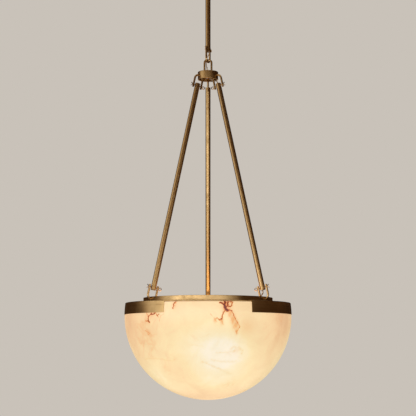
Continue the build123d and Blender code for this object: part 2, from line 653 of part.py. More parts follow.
def lampholder():
    """Holder with its open mouth at +Z and a threaded neck at -Z, back face on the origin."""
    body = Pos(0, 0, HOLDER_L / 2) * Cylinder(HOLDER_R, HOLDER_L)
    body = fillet(body.edges().sort_by(Axis.Z)[0], HOLDER_BACK_ROUND)
    thread_l = HOLDER_L - HOLDER_BACK
    body -= Pos(0, 0, HOLDER_BACK + thread_l / 2) * Cylinder(BULB_CAP_R + CAP_FIT, thread_l)
    body -= Pos(0, 0, HOLDER_L - HOLDER_MOUTH_L / 2) * Cylinder(HOLDER_MOUTH_R, HOLDER_MOUTH_L)
    groove = Cylinder(2 * HOLDER_R, 2 * HOLDER_GROOVE) - Cylinder(HOLDER_R - HOLDER_GROOVE, 2 * HOLDER_GROOVE)
    neck = Pos(0, 0, -HOLDER_NECK_L / 2) * Cylinder(HOLDER_NECK_D / 2, HOLDER_NECK_L)
    bore = Cylinder(LEAD_D / 2 + SCREW_CLEAR, 2 * (HOLDER_NECK_L + HOLDER_BACK))
    return body - Pos(0, 0, HOLDER_L - 2 * HOLDER_MOUTH_L) * groove + neck - bore


def bulb_base():
    """Screw cap and lower body of a bulb, cap end on the origin, bulb towards +Z."""
    cap = Pos(0, 0, BULB_CAP_L / 2) * Cylinder(BULB_CAP_R, BULB_CAP_L)
    cap = chamfer(cap.edges().sort_by(Axis.Z)[0], BULB_CAP_TIP)
    shoulder = loft([Pos(0, 0, BULB_CAP_L) * Circle(BULB_CAP_R + BULB_BODY_STEP),
                     Pos(0, 0, BULB_CAP_L + BULB_BODY_L) * Circle(BULB_SEAM_R)])
    return cap + shoulder


def bulb_globe():
    """Thin frosted globe that closes on the lower body."""
    z_seat = BULB_CAP_L + BULB_BODY_L
    z_ball = BULB_L - BULB_R

    def blown(radius, foot_r):
        shape = Pos(0, 0, z_ball) * Sphere(radius)
        shape += loft([Pos(0, 0, z_seat) * Circle(foot_r), Pos(0, 0, z_ball) * Circle(radius * 0.985)])
        cutter = Pos(0, 0, z_seat - BULB_R) * Cylinder(2 * BULB_R, 2 * BULB_R)
        return shape - cutter

    return blown(BULB_R, BULB_SEAM_R) - blown(BULB_R - BULB_GLASS_T, BULB_SEAM_R - BULB_GLASS_T)


def make_lamps():
    """Three lampholders with their nuts and bulbs."""
    nuts = []
    nut = hex_nut(HOLDER_NUT_AF, HOLDER_NUT_H, HOLDER_NECK_D)
    for side, azimuth in LAMP_AZIMUTHS.items():
        middle, axis, across = lamp_frame(azimuth)
        back = middle + axis * (SPIDER_T / 2)
        cap_end = back + axis * (HOLDER_BACK + BULB_TIP_GAP)
        save(f"lampholder_{side}", put(lampholder(), back, across, axis))
        save(f"bulb_base_{side}", put(bulb_base(), cap_end, across, axis))
        save(f"bulb_globe_{side}", put(bulb_globe(), cap_end, across, axis))
        nuts.append(put(nut, middle - axis * (SPIDER_T / 2 + HOLDER_NUT_H), across, axis))
    save("lampholder_nuts", nuts)


# ---- Flex: straight runs joined by tangent arcs

def flex(name, points, diameter):
    """Round flex through hand-chosen points, with the widest arc each corner allows."""
    points = [Vector(*p) for p in points]
    runs = [b - a for a, b in zip(points, points[1:])]
    radii = [0.45 * min(a.length, b.length) / tan(radians(a.get_angle(b) / 2))
             for a, b in zip(runs, runs[1:])]
    path = FilletPolyline(*points, radius=radii) if radii else Line(*points)
    body = sweep(Plane(origin=path @ 0, z_dir=path % 0) * Circle(diameter / 2), path=path)
    print(name, "arc radii", [round(r, 1) for r in radii], "length", round(path.length, 1),
          "volume ratio", round(body.volume / (path.length * 3.14159265 * diameter**2 / 4), 4))
    return body


def terminal_block():
    """Small three-way block with screw wells, lying on its own origin."""
    body = Pos(0, 0, BLOCK_H / 2) * Box(BLOCK_L, BLOCK_W, BLOCK_H)
    body = fillet(body.edges().filter_by(Axis.Z), BLOCK_CORNER_R)
    for x in (-BLOCK_WELL_SPACING, 0, BLOCK_WELL_SPACING):
        body -= Pos(x, 0, BLOCK_H) * Cylinder(BLOCK_WELL_R, BLOCK_H)
    return body


def junction_block():
    """Six-sided block that joins the flex to the three lamp leads, one entry in each of four flats."""
    body = extrude(RegularPolygon(JUNCTION_AF / 2, 6, major_radius=False), JUNCTION_H)
    wells = [Rot(Z=angle) * Pos(JUNCTION_AF / 4, 0, JUNCTION_H) * Cylinder(BLOCK_WELL_R, JUNCTION_H)
             for angle in (0, 120, 240)]
    return Pos(0, 0, z_spider) * (body - wells)


def make_flex():
    """Flex from the ceiling block down the stem, past the link, and through one rod to the lamps."""
    offset = cord_side * -CORD_OFFSET
    z_flex_top = z_nipple_top + CORD_D + 1.0
    block_face_y = SUPPLY_BLOCK_Y - BLOCK_W / 2
    z_entry = SUPPLY_BLOCK_Z + BLOCK_H / 2
    stem_out = offset + up * (z_stem_end - CORD_OUT)
    crossing = Vector(-5.2, 5.8, z_link_bottom + BAIL_WIRE)
    save("cord_in_stem", flex("cord_in_stem", [
        (0, block_face_y, z_entry), (0, block_face_y - 8, z_entry), (0, 15, z_flex_top - 3),
        (0, 8, z_flex_top), (0, 0, z_flex_top - 1), (0, 0, z_stem_top - 2 * BUSH_L),
        offset + up * (z_stem_top - STEM_L / 2), stem_out], CORD_D))
    save("cord_by_link", flex("cord_by_link", [
        stem_out, stem_out - up * 6, crossing + Vector(0.6, -1.6, 7), crossing], CORD_D))
    hub_entry = Vector(HUB_CORD_X, HUB_CORD_Y, z_hub_top + BUSHING_FLANGE + 1.0)
    save("cord_above_hub", flex("cord_above_hub", [
        crossing, crossing - Vector(0.6, -1.6, 7), hub_entry + up * 9, hub_entry], CORD_D))

    hub_point, collar_point, down, normal = rod_line(ROD_AZIMUTHS[CORD_ROD])
    out, across = radial(ROD_AZIMUTHS[CORD_ROD])

    def spot(r, t, z):
        return out * r + across * t + up * z

    bore = across * CORD_OFFSET
    rod_top = hub_point + down * (BAIL_REACH - PIN_TO_END) + bore
    rod_foot = collar_point - down * (BAIL_REACH - PIN_TO_END) + bore
    z_arm = z_spider + CORD_D / 2 + CORD_LIFT
    r_drop = plate_inner_r - CORD_INSIDE_PLATE
    save("cord_to_lamps", flex("cord_to_lamps", [
        hub_entry, hub_entry - up * 12.5, spot(6, 6.3, z_hub_lip + 1),
        spot(hub_hole_r - CORD_INSIDE_HUB_WALL, 6, z_hub_lip - 5.2),
        rod_top - down * 5, rod_foot + down * 4.5,
        spot(collar_r - CORD_INSIDE_COLLAR, 6.6, z_collar_top + 4.5), spot(r_drop, 7.0, z_collar_top - 9),
        spot(r_drop - CORD_SWEEP_IN, 5.5, z_plate_under - 13), spot(r_drop - CORD_LANDING_IN, 3, z_arm),
        spot(SPIDER_DISC_R + CORD_OFF_DISC, -2, z_arm), spot(24, 0, z_arm + 1.5),
        spot(JUNCTION_AF / 2, 0, z_arm + 1.5)], CORD_D))
    save("splice_block", junction_block())
    save("supply_block", Pos(0, SUPPLY_BLOCK_Y, SUPPLY_BLOCK_Z) * terminal_block())
    leads = []
    for side, azimuth in LAMP_AZIMUTHS.items():
        middle, axis, _ = lamp_frame(azimuth)
        lead_out, _ = radial(azimuth)
        neck = middle - axis * (HOLDER_NECK_L - SPIDER_T / 2)
        start = lead_out * (JUNCTION_AF / 2) + up * (z_spider + JUNCTION_H / 2)
        points = [start, start + lead_out * 6, neck - axis * 7, neck + axis * 2]
        leads.append(flex(f"lead_{side}", points, LEAD_D))
    save("lamp_leads", leads)


make_crossbar()
make_stem()
make_canopy()
make_link()
make_hub()
make_rods()
make_rim()
make_bowl()
make_spider()
make_lamps()
make_flex()
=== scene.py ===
"""Alabaster bowl pendant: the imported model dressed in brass, stone, glass and flex, in metres."""
import json
import logging
import math
from dataclasses import dataclass, field
from enum import Enum
from typing import Sequence

import bpy
import numpy as np
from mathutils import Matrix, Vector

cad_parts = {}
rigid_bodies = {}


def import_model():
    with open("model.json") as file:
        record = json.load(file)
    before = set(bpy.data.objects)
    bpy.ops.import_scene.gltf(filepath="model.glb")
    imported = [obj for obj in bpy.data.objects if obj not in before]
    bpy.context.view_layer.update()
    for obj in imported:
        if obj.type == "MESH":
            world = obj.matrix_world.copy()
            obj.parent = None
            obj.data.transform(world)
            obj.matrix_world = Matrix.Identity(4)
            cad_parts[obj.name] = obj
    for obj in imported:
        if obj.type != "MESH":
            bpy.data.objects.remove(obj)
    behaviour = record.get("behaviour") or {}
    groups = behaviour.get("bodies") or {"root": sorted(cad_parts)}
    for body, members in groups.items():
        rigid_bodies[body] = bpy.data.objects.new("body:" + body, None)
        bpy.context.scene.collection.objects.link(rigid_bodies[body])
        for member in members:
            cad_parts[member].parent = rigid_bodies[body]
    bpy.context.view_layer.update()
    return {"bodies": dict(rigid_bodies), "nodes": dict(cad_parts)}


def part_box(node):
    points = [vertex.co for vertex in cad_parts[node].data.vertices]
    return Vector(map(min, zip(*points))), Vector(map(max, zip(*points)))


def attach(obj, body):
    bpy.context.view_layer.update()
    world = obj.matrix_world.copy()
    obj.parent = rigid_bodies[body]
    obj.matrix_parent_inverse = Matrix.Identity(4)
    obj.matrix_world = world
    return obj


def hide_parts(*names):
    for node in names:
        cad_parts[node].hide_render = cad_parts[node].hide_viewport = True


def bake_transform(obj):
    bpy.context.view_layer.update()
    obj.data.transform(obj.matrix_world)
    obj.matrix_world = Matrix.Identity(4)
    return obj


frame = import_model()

log = logging.getLogger("pendant")
Array = np.ndarray
Socket = bpy.types.NodeSocket
Material = bpy.types.Material
Value = Socket | float
Point = tuple[float, ...]
MM = 0.001
FULL = 2 * math.pi
UP = np.array([0.0, 0.0, 1.0])


# ---------------------------------------------------------------- node helpers

def linear(hex_colour: str) -> Point:
    """Turn an sRGB hex colour into linear red, green, blue and an alpha of one."""
    parts = [int(hex_colour[i:i + 2], 16) / 255 for i in (1, 3, 5)]
    return (*[p / 12.92 if p <= 0.04045 else ((p + 0.055) / 1.055) ** 2.4 for p in parts], 1.0)


class Graph:
    """Nodes of one material or world, with short calls for the kinds that repeat."""

    def __init__(self, owner: Material | bpy.types.World) -> None:
        """Empty the owner's node tree."""
        owner.use_nodes = True
        self.owner, self.tree = owner, owner.node_tree
        self.tree.nodes.clear()

    def add(self, kind: str, inputs: dict | None = None, **settings: object) -> bpy.types.Node:
        """Add one node with its settings, values and links.

        Args:
            kind: the node's class name without ShaderNode.
            inputs: socket name or number, and the value or output socket it gets.
            settings: attributes of the node itself.

        Returns:
            The new node.
        """
        node = self.tree.nodes.new("ShaderNode" + kind)
        for name, value in settings.items():
            setattr(node, name, value)
        for name, value in (inputs or {}).items():
            if isinstance(value, Socket):
                self.tree.links.new(value, node.inputs[name])
            else:
                node.inputs[name].default_value = value
        return node

    def place(self) -> Socket:
        """The shaded point in the object's own space."""
        return self.add("TexCoord").outputs["Object"]

    def math(self, operation: str, a: Value, b: Value = 0.0, c: Value = 0.0, clamp: bool = False) -> Socket:
        """One sum on up to three values."""
        return self.add("Math", {0: a, 1: b, 2: c}, operation=operation, use_clamp=clamp).outputs[0]

    def noise(self, place: Socket, size: float, detail: float, rough: float = 0.5,
              twist: float = 0.0) -> Socket:
        """Noise whose features are about one size in metres."""
        return self.add("TexNoise", {"Vector": place, "Scale": 1 / size, "Detail": detail, "Roughness": rough,
                                     "Distortion": twist}).outputs["Fac"]

    def span(self, value: Socket, low: float, high: float, start: float = 0.0, end: float = 1.0,
             smooth: bool = False) -> Socket:
        """Carry a value from the range low to high over to start to end, and hold it there."""
        kind = "SMOOTHSTEP" if smooth else "LINEAR"
        return self.add("MapRange", {"Value": value, "From Min": low, "From Max": high, "To Min": start,
                                     "To Max": end}, interpolation_type=kind).outputs[0]

    def ramp(self, value: Socket, stops: Sequence[tuple[float, str | float]]) -> Socket:
        """Colour ramp through stops of a position and a hex colour or a grey level."""
        node = self.add("ValToRGB", {"Fac": value})
        points = node.color_ramp.elements
        while len(points) < len(stops):
            points.new(0.5)
        for point, (position, tone) in zip(points, stops):
            point.position = position
            point.color = linear(tone) if isinstance(tone, str) else (tone, tone, tone, 1.0)
        return node.outputs[0]

    def mix(self, factor: Value, a: Socket | Point, b: Socket | Point, blend: str = "MIX") -> Socket:
        """Blend two colours."""
        return self.add("Mix", {"Factor": factor, 6: a, 7: b}, data_type="RGBA", blend_type=blend).outputs[2]

    def bump(self, height: Socket, strength: float, distance: float) -> Socket:
        """Normal of a relief of a height in metres."""
        return self.add("Bump", {"Height": height, "Strength": strength, "Distance": distance}).outputs[0]

    def surface(self, kind: str, inputs: dict) -> Material:
        """Add the shader, join it to the output and return the finished material."""
        self.add("OutputMaterial", {"Surface": self.add(kind, inputs).outputs[0]})
        return self.owner


# ---------------------------------------------------------------- meshes from arrays

@dataclass
class Shell:
    """Vertices and faces as arrays, with optional (run in metres, turn) values for each vertex."""

    points: Array
    faces: list[Array]
    along: Array | None = None

    def outward(self) -> "Shell":
        """Turn all faces over if the closed shell's signed volume is negative.

        The volume is a sixth of the sum, over the faces cut into triangles, of a . (b x c).

        Returns:
            A shell whose faces point outwards.
        """
        volume = 0.0
        for block in self.faces:
            a = self.points[block[:, 0]]
            for k in range(1, block.shape[1] - 1):
                b, c = self.points[block[:, k]], self.points[block[:, k + 1]]
                volume += float(np.einsum("ij,ij->", a, np.cross(b, c)))
        return self if volume > 0 else Shell(self.points, [f[:, ::-1] for f in self.faces], self.along)


def joined(shells: Sequence[Shell]) -> Shell:
    """Put several shells in one, each keeping its own vertices."""
    starts = np.cumsum([0] + [len(s.points) for s in shells])
    faces = [block + start for s, start in zip(shells, starts) for block in s.faces]
    along = np.concatenate([s.along if s.along is not None else np.zeros((len(s.points), 2)) for s in shells])
    return Shell(np.concatenate([s.points for s in shells]), faces, along)


def band(rows: int, columns: int) -> Array:
    """Quads between the rings of a stack, closed round each ring."""
    i, j = np.meshgrid(np.arange(rows - 1) * columns, np.arange(columns), indexing="ij")
    k = (j + 1) % columns
    return np.stack([i + j, i + k, i + columns + k, i + columns + j], -1).reshape(-1, 4)


def capped(rings: Array, poles: Array) -> Shell:
    """Close a stack of rings with a fan from each end ring to its pole.

    Args:
        rings: rows x columns x 3 points.
        poles: the two end points, 2 x 3.

    Returns:
        A closed shell with its faces outwards and the poles as its last two vertices.
    """
    rows, columns = rings.shape[:2]
    seam, top = np.arange(columns), (rows - 1) * columns
    after, pole = (seam + 1) % columns, np.full(columns, rows * columns)
    fans = [np.stack([pole, after, seam], -1), np.stack([pole + 1, top + seam, top + after], -1)]
    return Shell(np.concatenate([rings.reshape(-1, 3), poles]), [band(rows, columns), *fans]).outward()


def carried(path: Array, side: Array, lift: Array, profile: Array) -> Shell:
    """Carry a closed profile along an open path: point = path + side * u + lift * v.

    Args:
        path: centre points, n x 3.
        side: unit vector of the profile's first axis at each path point.
        lift: unit vector of the profile's second axis at each path point.
        profile: (u, v) points, m x 2.

    Returns:
        A closed shell that knows the run along the path and the turn round the profile.
    """
    rings = path[:, None] + side[:, None] * profile[:, :1] + lift[:, None] * profile[:, 1:]
    shell = capped(rings, path[[0, -1]])
    run = np.cumsum(np.linalg.norm(np.diff(path, axis=0, prepend=path[:1]), axis=1))
    count = len(profile)
    along = np.stack([np.repeat(run, count), np.tile(np.arange(count) / count, len(path))], -1)
    shell.along = np.concatenate([along, [[0.0, 0.0], [run[-1], 0.0]]])
    return shell


def turned(profile: Array, origin: Array, axis: Array, columns: int, ripple: Array | float = 1.0) -> Shell:
    """Turn (radius, height) points about an axis: point = origin + axis * h + r * (e cos a + f sin a).

    Args:
        profile: outline from the axis back to the axis, m x 2, its two ends at radius zero.
        origin: a point on the axis.
        axis: unit vector along it.
        columns: points around.
        ripple: factor on the radius for each profile point and column, for knurls.

    Returns:
        A closed shell with a single vertex at each pole.
    """
    e, f = across(axis)
    angle = np.linspace(0, FULL, columns, endpoint=False)[:, None]
    radius = profile[1:-1, :1] * ripple * np.ones(columns)
    ring = radius[..., None] * (np.cos(angle) * e + np.sin(angle) * f)
    middle = origin + axis * profile[:, 1:]
    return capped(middle[1:-1, None] + ring, middle[[0, -1]])


def across(axis: Array) -> tuple[Array, Array]:
    """Two unit vectors square to an axis and to each other."""
    helper = UP if abs(axis[2]) < 0.9 else np.array([0.0, 1.0, 0.0])
    e = np.cross(helper, axis)
    e /= np.linalg.norm(e)
    return e, np.cross(axis, e)


def rounded_line(corners: Array, radius: float, steps: int) -> Array:
    """Plane line through corners, each rounded by an arc tangent to its two runs.

    For a corner P with unit runs a (in) and b (out) that turn by t, the arc starts r tan(t / 2)
    before P, and its points are start + r sin(s) a + r (1 - cos(s)) n for s from 0 to t.

    Args:
        corners: n x 2 points.
        radius: the arcs' radius.
        steps: points on each arc.

    Returns:
        The line's points.
    """
    out = [corners[:1]]
    for before, corner, after in zip(corners, corners[1:], corners[2:]):
        a, b = [(q - p) / np.linalg.norm(q - p) for p, q in ((before, corner), (corner, after))]
        turn = math.atan2(a[0] * b[1] - a[1] * b[0], float(a @ b))
        normal = np.array([-a[1], a[0]]) * math.copysign(1.0, turn)
        s = np.linspace(0, abs(turn), steps)[:, None]
        start = corner - a * radius * math.tan(abs(turn) / 2)
        out.append(start + a * radius * np.sin(s) + normal * radius * (1 - np.cos(s)))
    return np.concatenate([*out, corners[-1:]])


def build_object(name: str, shell: Shell, material: Material, smooth_angle: float = 35.0) -> bpy.types.Object:
    """Put a shell into a mesh object at the origin, shaded smooth below an angle.

    Args:
        name: the piece's name.
        shell: its vertices and faces, in metres in the row's frame.
        material: its finish.
        smooth_angle: edges sharper than this many degrees stay sharp.

    Returns:
        The object.
    """
    mesh = bpy.data.meshes.new(name)
    loops = np.concatenate([block.ravel() for block in shell.faces])
    sizes = np.concatenate([np.full(len(block), block.shape[1]) for block in shell.faces])
    mesh.vertices.add(len(shell.points))
    mesh.vertices.foreach_set("co", shell.points.astype(np.float32).ravel())
    mesh.loops.add(len(loops))
    mesh.loops.foreach_set("vertex_index", loops.astype(np.int32))
    mesh.polygons.add(len(sizes))
    mesh.polygons.foreach_set("loop_start", (np.cumsum(sizes) - sizes).astype(np.int32))
    mesh.polygons.foreach_set("use_smooth", np.ones(len(sizes), bool))
    mesh.update(calc_edges=True)
    mesh.validate()
    if shell.along is not None:
        run = mesh.attributes.new("along", "FLOAT2", "POINT")
        run.data.foreach_set("vector", shell.along.astype(np.float32).ravel())
    mesh.set_sharp_from_angle(angle=math.radians(smooth_angle))
    mesh.materials.append(material)
    obj = bpy.data.objects.new(name, mesh)
    bpy.context.scene.collection.objects.link(obj)
    log.info("%s: %d faces", name, len(mesh.polygons))
    return obj


def dress(finishes: dict[str, Material]) -> None:
    """Give carried-over nodes one finish each over all their faces."""
    for node, material in finishes.items():
        mesh = frame["nodes"][node].data
        mesh.materials.clear()
        mesh.materials.append(material)


# ---------------------------------------------------------------- finishes

class Marks(Enum):
    """How a metal surface was worked: how its fine lines are stretched across, across and along the axis."""

    TURNED = (1.0, 1.0, 1.0)
    DRAWN = (1.0, 1.0, 0.02)
    ROLLED = (1.0, 0.04, 1.0)


@dataclass(frozen=True)
class Metal:
    """Worked metal with fine lines, patches of tarnish and a satin sheen.

    Attributes:
        name: what the metal is and how it was made.
        pale, mid, dark: hex colours of rubbed, usual and tarnished metal.
        marks: the way the fine lines run.
        axis: vector the lines run along when drawn, or the turning axis.
        line: spacing of the lines in metres, drawn coarser than the real 0.1 mm so that they show.
        patch: size of the tarnish patches in metres.
        rough: usual roughness.
        tarnish: how far the dark colour comes in, from 0 to 1.
        spread: how far turned grooves throw the highlight up and down, from 0 to 1.
    """

    name: str
    pale: str
    mid: str
    dark: str
    marks: Marks
    axis: Point = (0.0, 0.0, 1.0)
    line: float = 0.5 * MM
    patch: float = 22 * MM
    rough: float = 0.3
    tarnish: float = 0.5
    spread: float = 0.55

    def build(self) -> Material:
        """Make the material; the lines come from noise that is stretched along them."""
        g = Graph(bpy.data.materials.new(self.name))
        place = g.place()
        axis = np.array(self.axis) / np.linalg.norm(self.axis)
        e, f, rise = [
            g.add("VectorMath", {0: place, 1: tuple(map(float, v))}, operation="DOT_PRODUCT").outputs["Value"]
            for v in (*across(axis), axis)]
        if self.marks is Marks.TURNED:
            # lines run round the axis: the pattern depends on height and radius only
            total = g.math("ADD", g.math("MULTIPLY", e, e), g.math("MULTIPLY", f, f))
            e, f = g.math("POWER", total, 0.5), 0.0
        grain = g.add("CombineXYZ", {0: e, 1: f, 2: rise}).outputs[0]
        lines = g.add("Mapping", {"Vector": grain, "Scale": self.marks.value}).outputs[0]
        fine = g.noise(lines, self.line, 3.0, 0.6)
        broad = g.noise(lines, self.line / 0.16, 2.0)
        patches = g.noise(place, self.patch, 6.0, 0.62, 0.6)
        specks = g.noise(place, self.patch / 7, 3.0, 0.6)
        worn = g.add("Mix", {"Factor": 0.35, 2: patches, 3: broad}, data_type="FLOAT").outputs[0]
        shade = g.ramp(worn, [(0.30, self.dark), (0.30 + 0.22 * self.tarnish, self.mid), (0.70, self.pale)])
        spots = g.span(specks, 0.58, 0.74, 0.0, 0.22 * self.tarnish)
        dull = g.span(patches, 0.3, 0.7, self.rough + 0.10, self.rough - 0.05)
        relief = g.math("MULTIPLY_ADD", broad, 0.5, fine)
        inputs = {"Base Color": g.mix(spots, shade, linear(self.dark)), "Metallic": 1.0,
                  "Roughness": g.math("MULTIPLY_ADD", fine, 0.10, dull),
                  "Normal": g.bump(relief, 0.30, 0.02 * MM)}
        if self.marks is Marks.TURNED:
            # grooves round the axis throw the highlight up and down, so it is turned a quarter
            inputs |= {"Anisotropic": self.spread, "Anisotropic Rotation": 0.25,
                       "Tangent": g.add("Tangent", direction_type="RADIAL", axis="Z").outputs[0]}
        return g.surface("BsdfPrincipled", inputs)


def brass(name: str, marks: Marks, axis: Point = (0.0, 0.0, 1.0), **changes: float) -> Material:
    """Antique brass, hand rubbed: warm, satin, browner where it is tarnished."""
    return Metal(name, "#CBA877", "#B79767", "#86653F", marks, axis, **changes).build()


@dataclass(frozen=True)
class Plain:
    """Moulded, glazed or blown surface that varies a little in colour, gloss and height.

    Attributes:
        name: what it is and how it was made.
        pale, dark: the two hex colours that it wanders between.
        grain: size of the variation in metres.
        rough: usual roughness.
        coat: weight of a clear glaze.
        relief: height of the surface's unevenness in metres.
        glow: strength of the warm light that it gives off.
    """

    name: str
    pale: str
    dark: str
    grain: float = 3 * MM
    rough: float = 0.45
    coat: float = 0.0
    relief: float = 0.02 * MM
    glow: float = 0.0

    def build(self) -> Material:
        """Make the material from coarse and fine noise in the object's own place."""
        g = Graph(bpy.data.materials.new(self.name))
        place = g.place()
        coarse = g.noise(place, 4 * self.grain, 4.0, 0.55)
        fine = g.noise(place, self.grain, 3.0, 0.6)
        inputs = {"Base Color": g.ramp(coarse, [(0.35, self.dark), (0.65, self.pale)]),
                  "Roughness": g.span(fine, 0.3, 0.7, max(self.rough - 0.07, 0.03), self.rough + 0.07),
                  "Normal": g.bump(fine, 0.4, self.relief), "Coat Weight": self.coat, "Coat Roughness": 0.06}
        if self.glow:
            inputs |= {"Emission Color": g.ramp(coarse, [(0.3, "#FFEFD2"), (0.7, "#FFF6E4")]),
                       "Emission Strength": self.glow}
        return g.surface("BsdfPrincipled", inputs)


@dataclass(frozen=True)
class ClearFlex:
    """Clear PVC flex: one tinned and one bare copper core show through a glossy sheath.

    Attributes:
        name: what it is and how it was made.
        lay: length of one turn of the stranding in metres, drawn at the real 3 mm.
    """

    name: str = "clear PVC twin flex, extruded"
    lay: float = 3 * MM

    def build(self) -> Material:
        """Make the material; the core's colour follows the way round, its strands the length."""
        g = Graph(bpy.data.materials.new(self.name))
        along = g.add("Attribute", attribute_name="along").outputs["Vector"]
        run, turn, _ = g.add("SeparateXYZ", {0: along}).outputs
        cores = g.ramp(turn, [(0.0, "#B98A5A"), (0.22, "#C4935F"), (0.30, "#E4DCCB"), (0.70, "#C9C5BB"),
                              (0.78, "#E4DCCB"), (0.86, "#B98A5A")])
        strand = g.math("SINE", g.math("MULTIPLY", g.math("MULTIPLY_ADD", run, 1 / self.lay, turn), FULL))
        colour = g.mix(1.0, cores, g.span(strand, -1.0, 1.0, 0.78), "MULTIPLY")
        return g.surface("BsdfPrincipled", {
            "Base Color": colour, "Roughness": 0.34, "Normal": g.bump(strand, 0.25, 0.05 * MM),
            "Coat Weight": 0.9, "Coat Roughness": 0.05})


@dataclass(frozen=True)
class Alabaster:
    """Turned and waxed alabaster, lit from behind, with cloudy bands and brown clay veins.

    The light that comes through is read from the "glow" attribute, and the marks from "vein", "crack",
    "stain" and "wild"; noise of real sizes breaks them up, so that no edge is smooth.

    Attributes:
        name: what it is and how it was made.
        cloud: size of the cloudy bands in metres.
        strength: strength of the light that comes through.
        light: stops of the colour of the light that comes through, from thick to thin stone.
    """

    name: str = "alabaster, turned and waxed"
    cloud: float = 60 * MM
    strength: float = 0.768
    light: tuple[tuple[float, str], ...] = (
        (0.0, "#D3A378"), (0.15, "#DEB088"), (0.35, "#EEC596"), (0.55, "#F9DAA9"),
        (0.72, "#FBE8B6"), (0.88, "#FAF0CC"), (1.0, "#FBF7E4"))

    def build(self) -> Material:
        """Make the material."""
        g = Graph(bpy.data.materials.new(self.name))
        place = g.place()

        def noise(size: float, detail: float, rough: float = 0.55, twist: float = 0.0) -> Socket:
            """Noise in the stone's own place."""
            return g.noise(place, size, detail, rough, twist)

        def read(name: str) -> Socket:
            """One of the bowl's own values."""
            return g.add("Attribute", attribute_name=name).outputs["Fac"]

        def step(value: Socket, low: float, high: float) -> Socket:
            """Smooth step from 0 to 1 between two values."""
            return g.span(value, low, high, smooth=True)

        def times(*values: Value) -> Socket:
            """Product of several values."""
            product = values[0]
            for value in values[1:]:
                product = g.math("MULTIPLY", product, value)
            return product

        def line(value: Socket, width: float) -> Socket:
            """1 on the line where a noise crosses its middle value, falling to 0 at a width."""
            off = g.math("ABSOLUTE", g.math("SUBTRACT", value, 0.5))
            return g.math("SUBTRACT", 1.0, step(off, 0.0, width))

        clouds = noise(self.cloud, 5.0, 0.5, 0.8)
        wisps = noise(self.cloud / 5, 4.0, 0.6, 1.6)
        grit = noise(2.2 * MM, 3.0)
        drift = g.math("MULTIPLY_ADD", g.math("SUBTRACT", clouds, 0.5), 0.26, read("glow"))
        drift = g.math("MULTIPLY_ADD", g.math("SUBTRACT", wisps, 0.5), 0.12, drift)
        # marked veins: the field falls from 1 on a vein's line to 0 at its edge, and noise frays it
        fray = times(g.math("MULTIPLY_ADD", noise(5.5 * MM, 3.5, 0.58, 0.7), 2.0, -0.02), read("vein"))
        faint, vein, core = step(fray, 0.05, 0.30), step(fray, 0.30, 0.50), step(fray, 0.56, 0.84)
        # hair-thin strands in the stained stone by the veins
        strand = times(line(noise(14 * MM, 4.0, 0.55, 1.8), 0.022), read("stain"))
        torn = g.math("MULTIPLY_ADD", noise(5 * MM, 5.0, 0.72), 3.2, -0.75)
        crack = step(times(torn, read("crack")), 0.0, 0.62)
        # thin veins elsewhere, in a few patches, with a haze of stain beside them
        ridge = noise(85 * MM, 6.0, 0.52, 1.3)
        patch = step(noise(110 * MM, 3.0, 0.5), 0.52, 0.66)
        thin = times(line(ridge, 0.012), patch, read("wild"), step(wisps, 0.34, 0.62))
        haze = times(line(ridge, 0.07), patch)
        stain = g.math("MULTIPLY_ADD", haze, 0.30, times(read("stain"), step(wisps, 0.1, 0.55)), clamp=True)
        lit = g.ramp(drift, self.light)
        # each tint multiplies what is under it
        for amount, tint in ((stain, "#F4BB88"), (times(thin, 0.62), "#D08A5C"),
                             (times(crack, 0.75), "#EACF8E"), (times(strand, 0.55), "#C88A5E"),
                             (faint, "#F3C79C"), (vein, "#D49C70"), (core, "#98502E")):
            lit = g.mix(amount, lit, linear(tint), "MULTIPLY")
        face = g.ramp(clouds, [(0.35, "#A58A68"), (0.65, "#B79C7A")])
        for amount, tint in ((vein, "#C89468"), (core, "#7A4226")):
            face = g.mix(amount, face, linear(tint), "MULTIPLY")
        relief = g.math("MULTIPLY_ADD", core, -0.6, times(grit, 0.25))
        return g.surface("BsdfPrincipled", {
            "Base Color": face, "Roughness": g.span(grit, 0.3, 0.7, 0.30, 0.42), "IOR": 1.52,
            "Normal": g.bump(relief, 0.35, 0.15 * MM), "Coat Weight": 0.15, "Coat Roughness": 0.2,
            "Emission Color": lit, "Emission Strength": self.strength})


# ---------------------------------------------------------------- bowl

Line = tuple[tuple[float, float], ...]
Mark = tuple[float, float, Line]
Spot = tuple[float, float, float, float, float]
BULB_SIDES = (270.0, 30.0, 150.0)


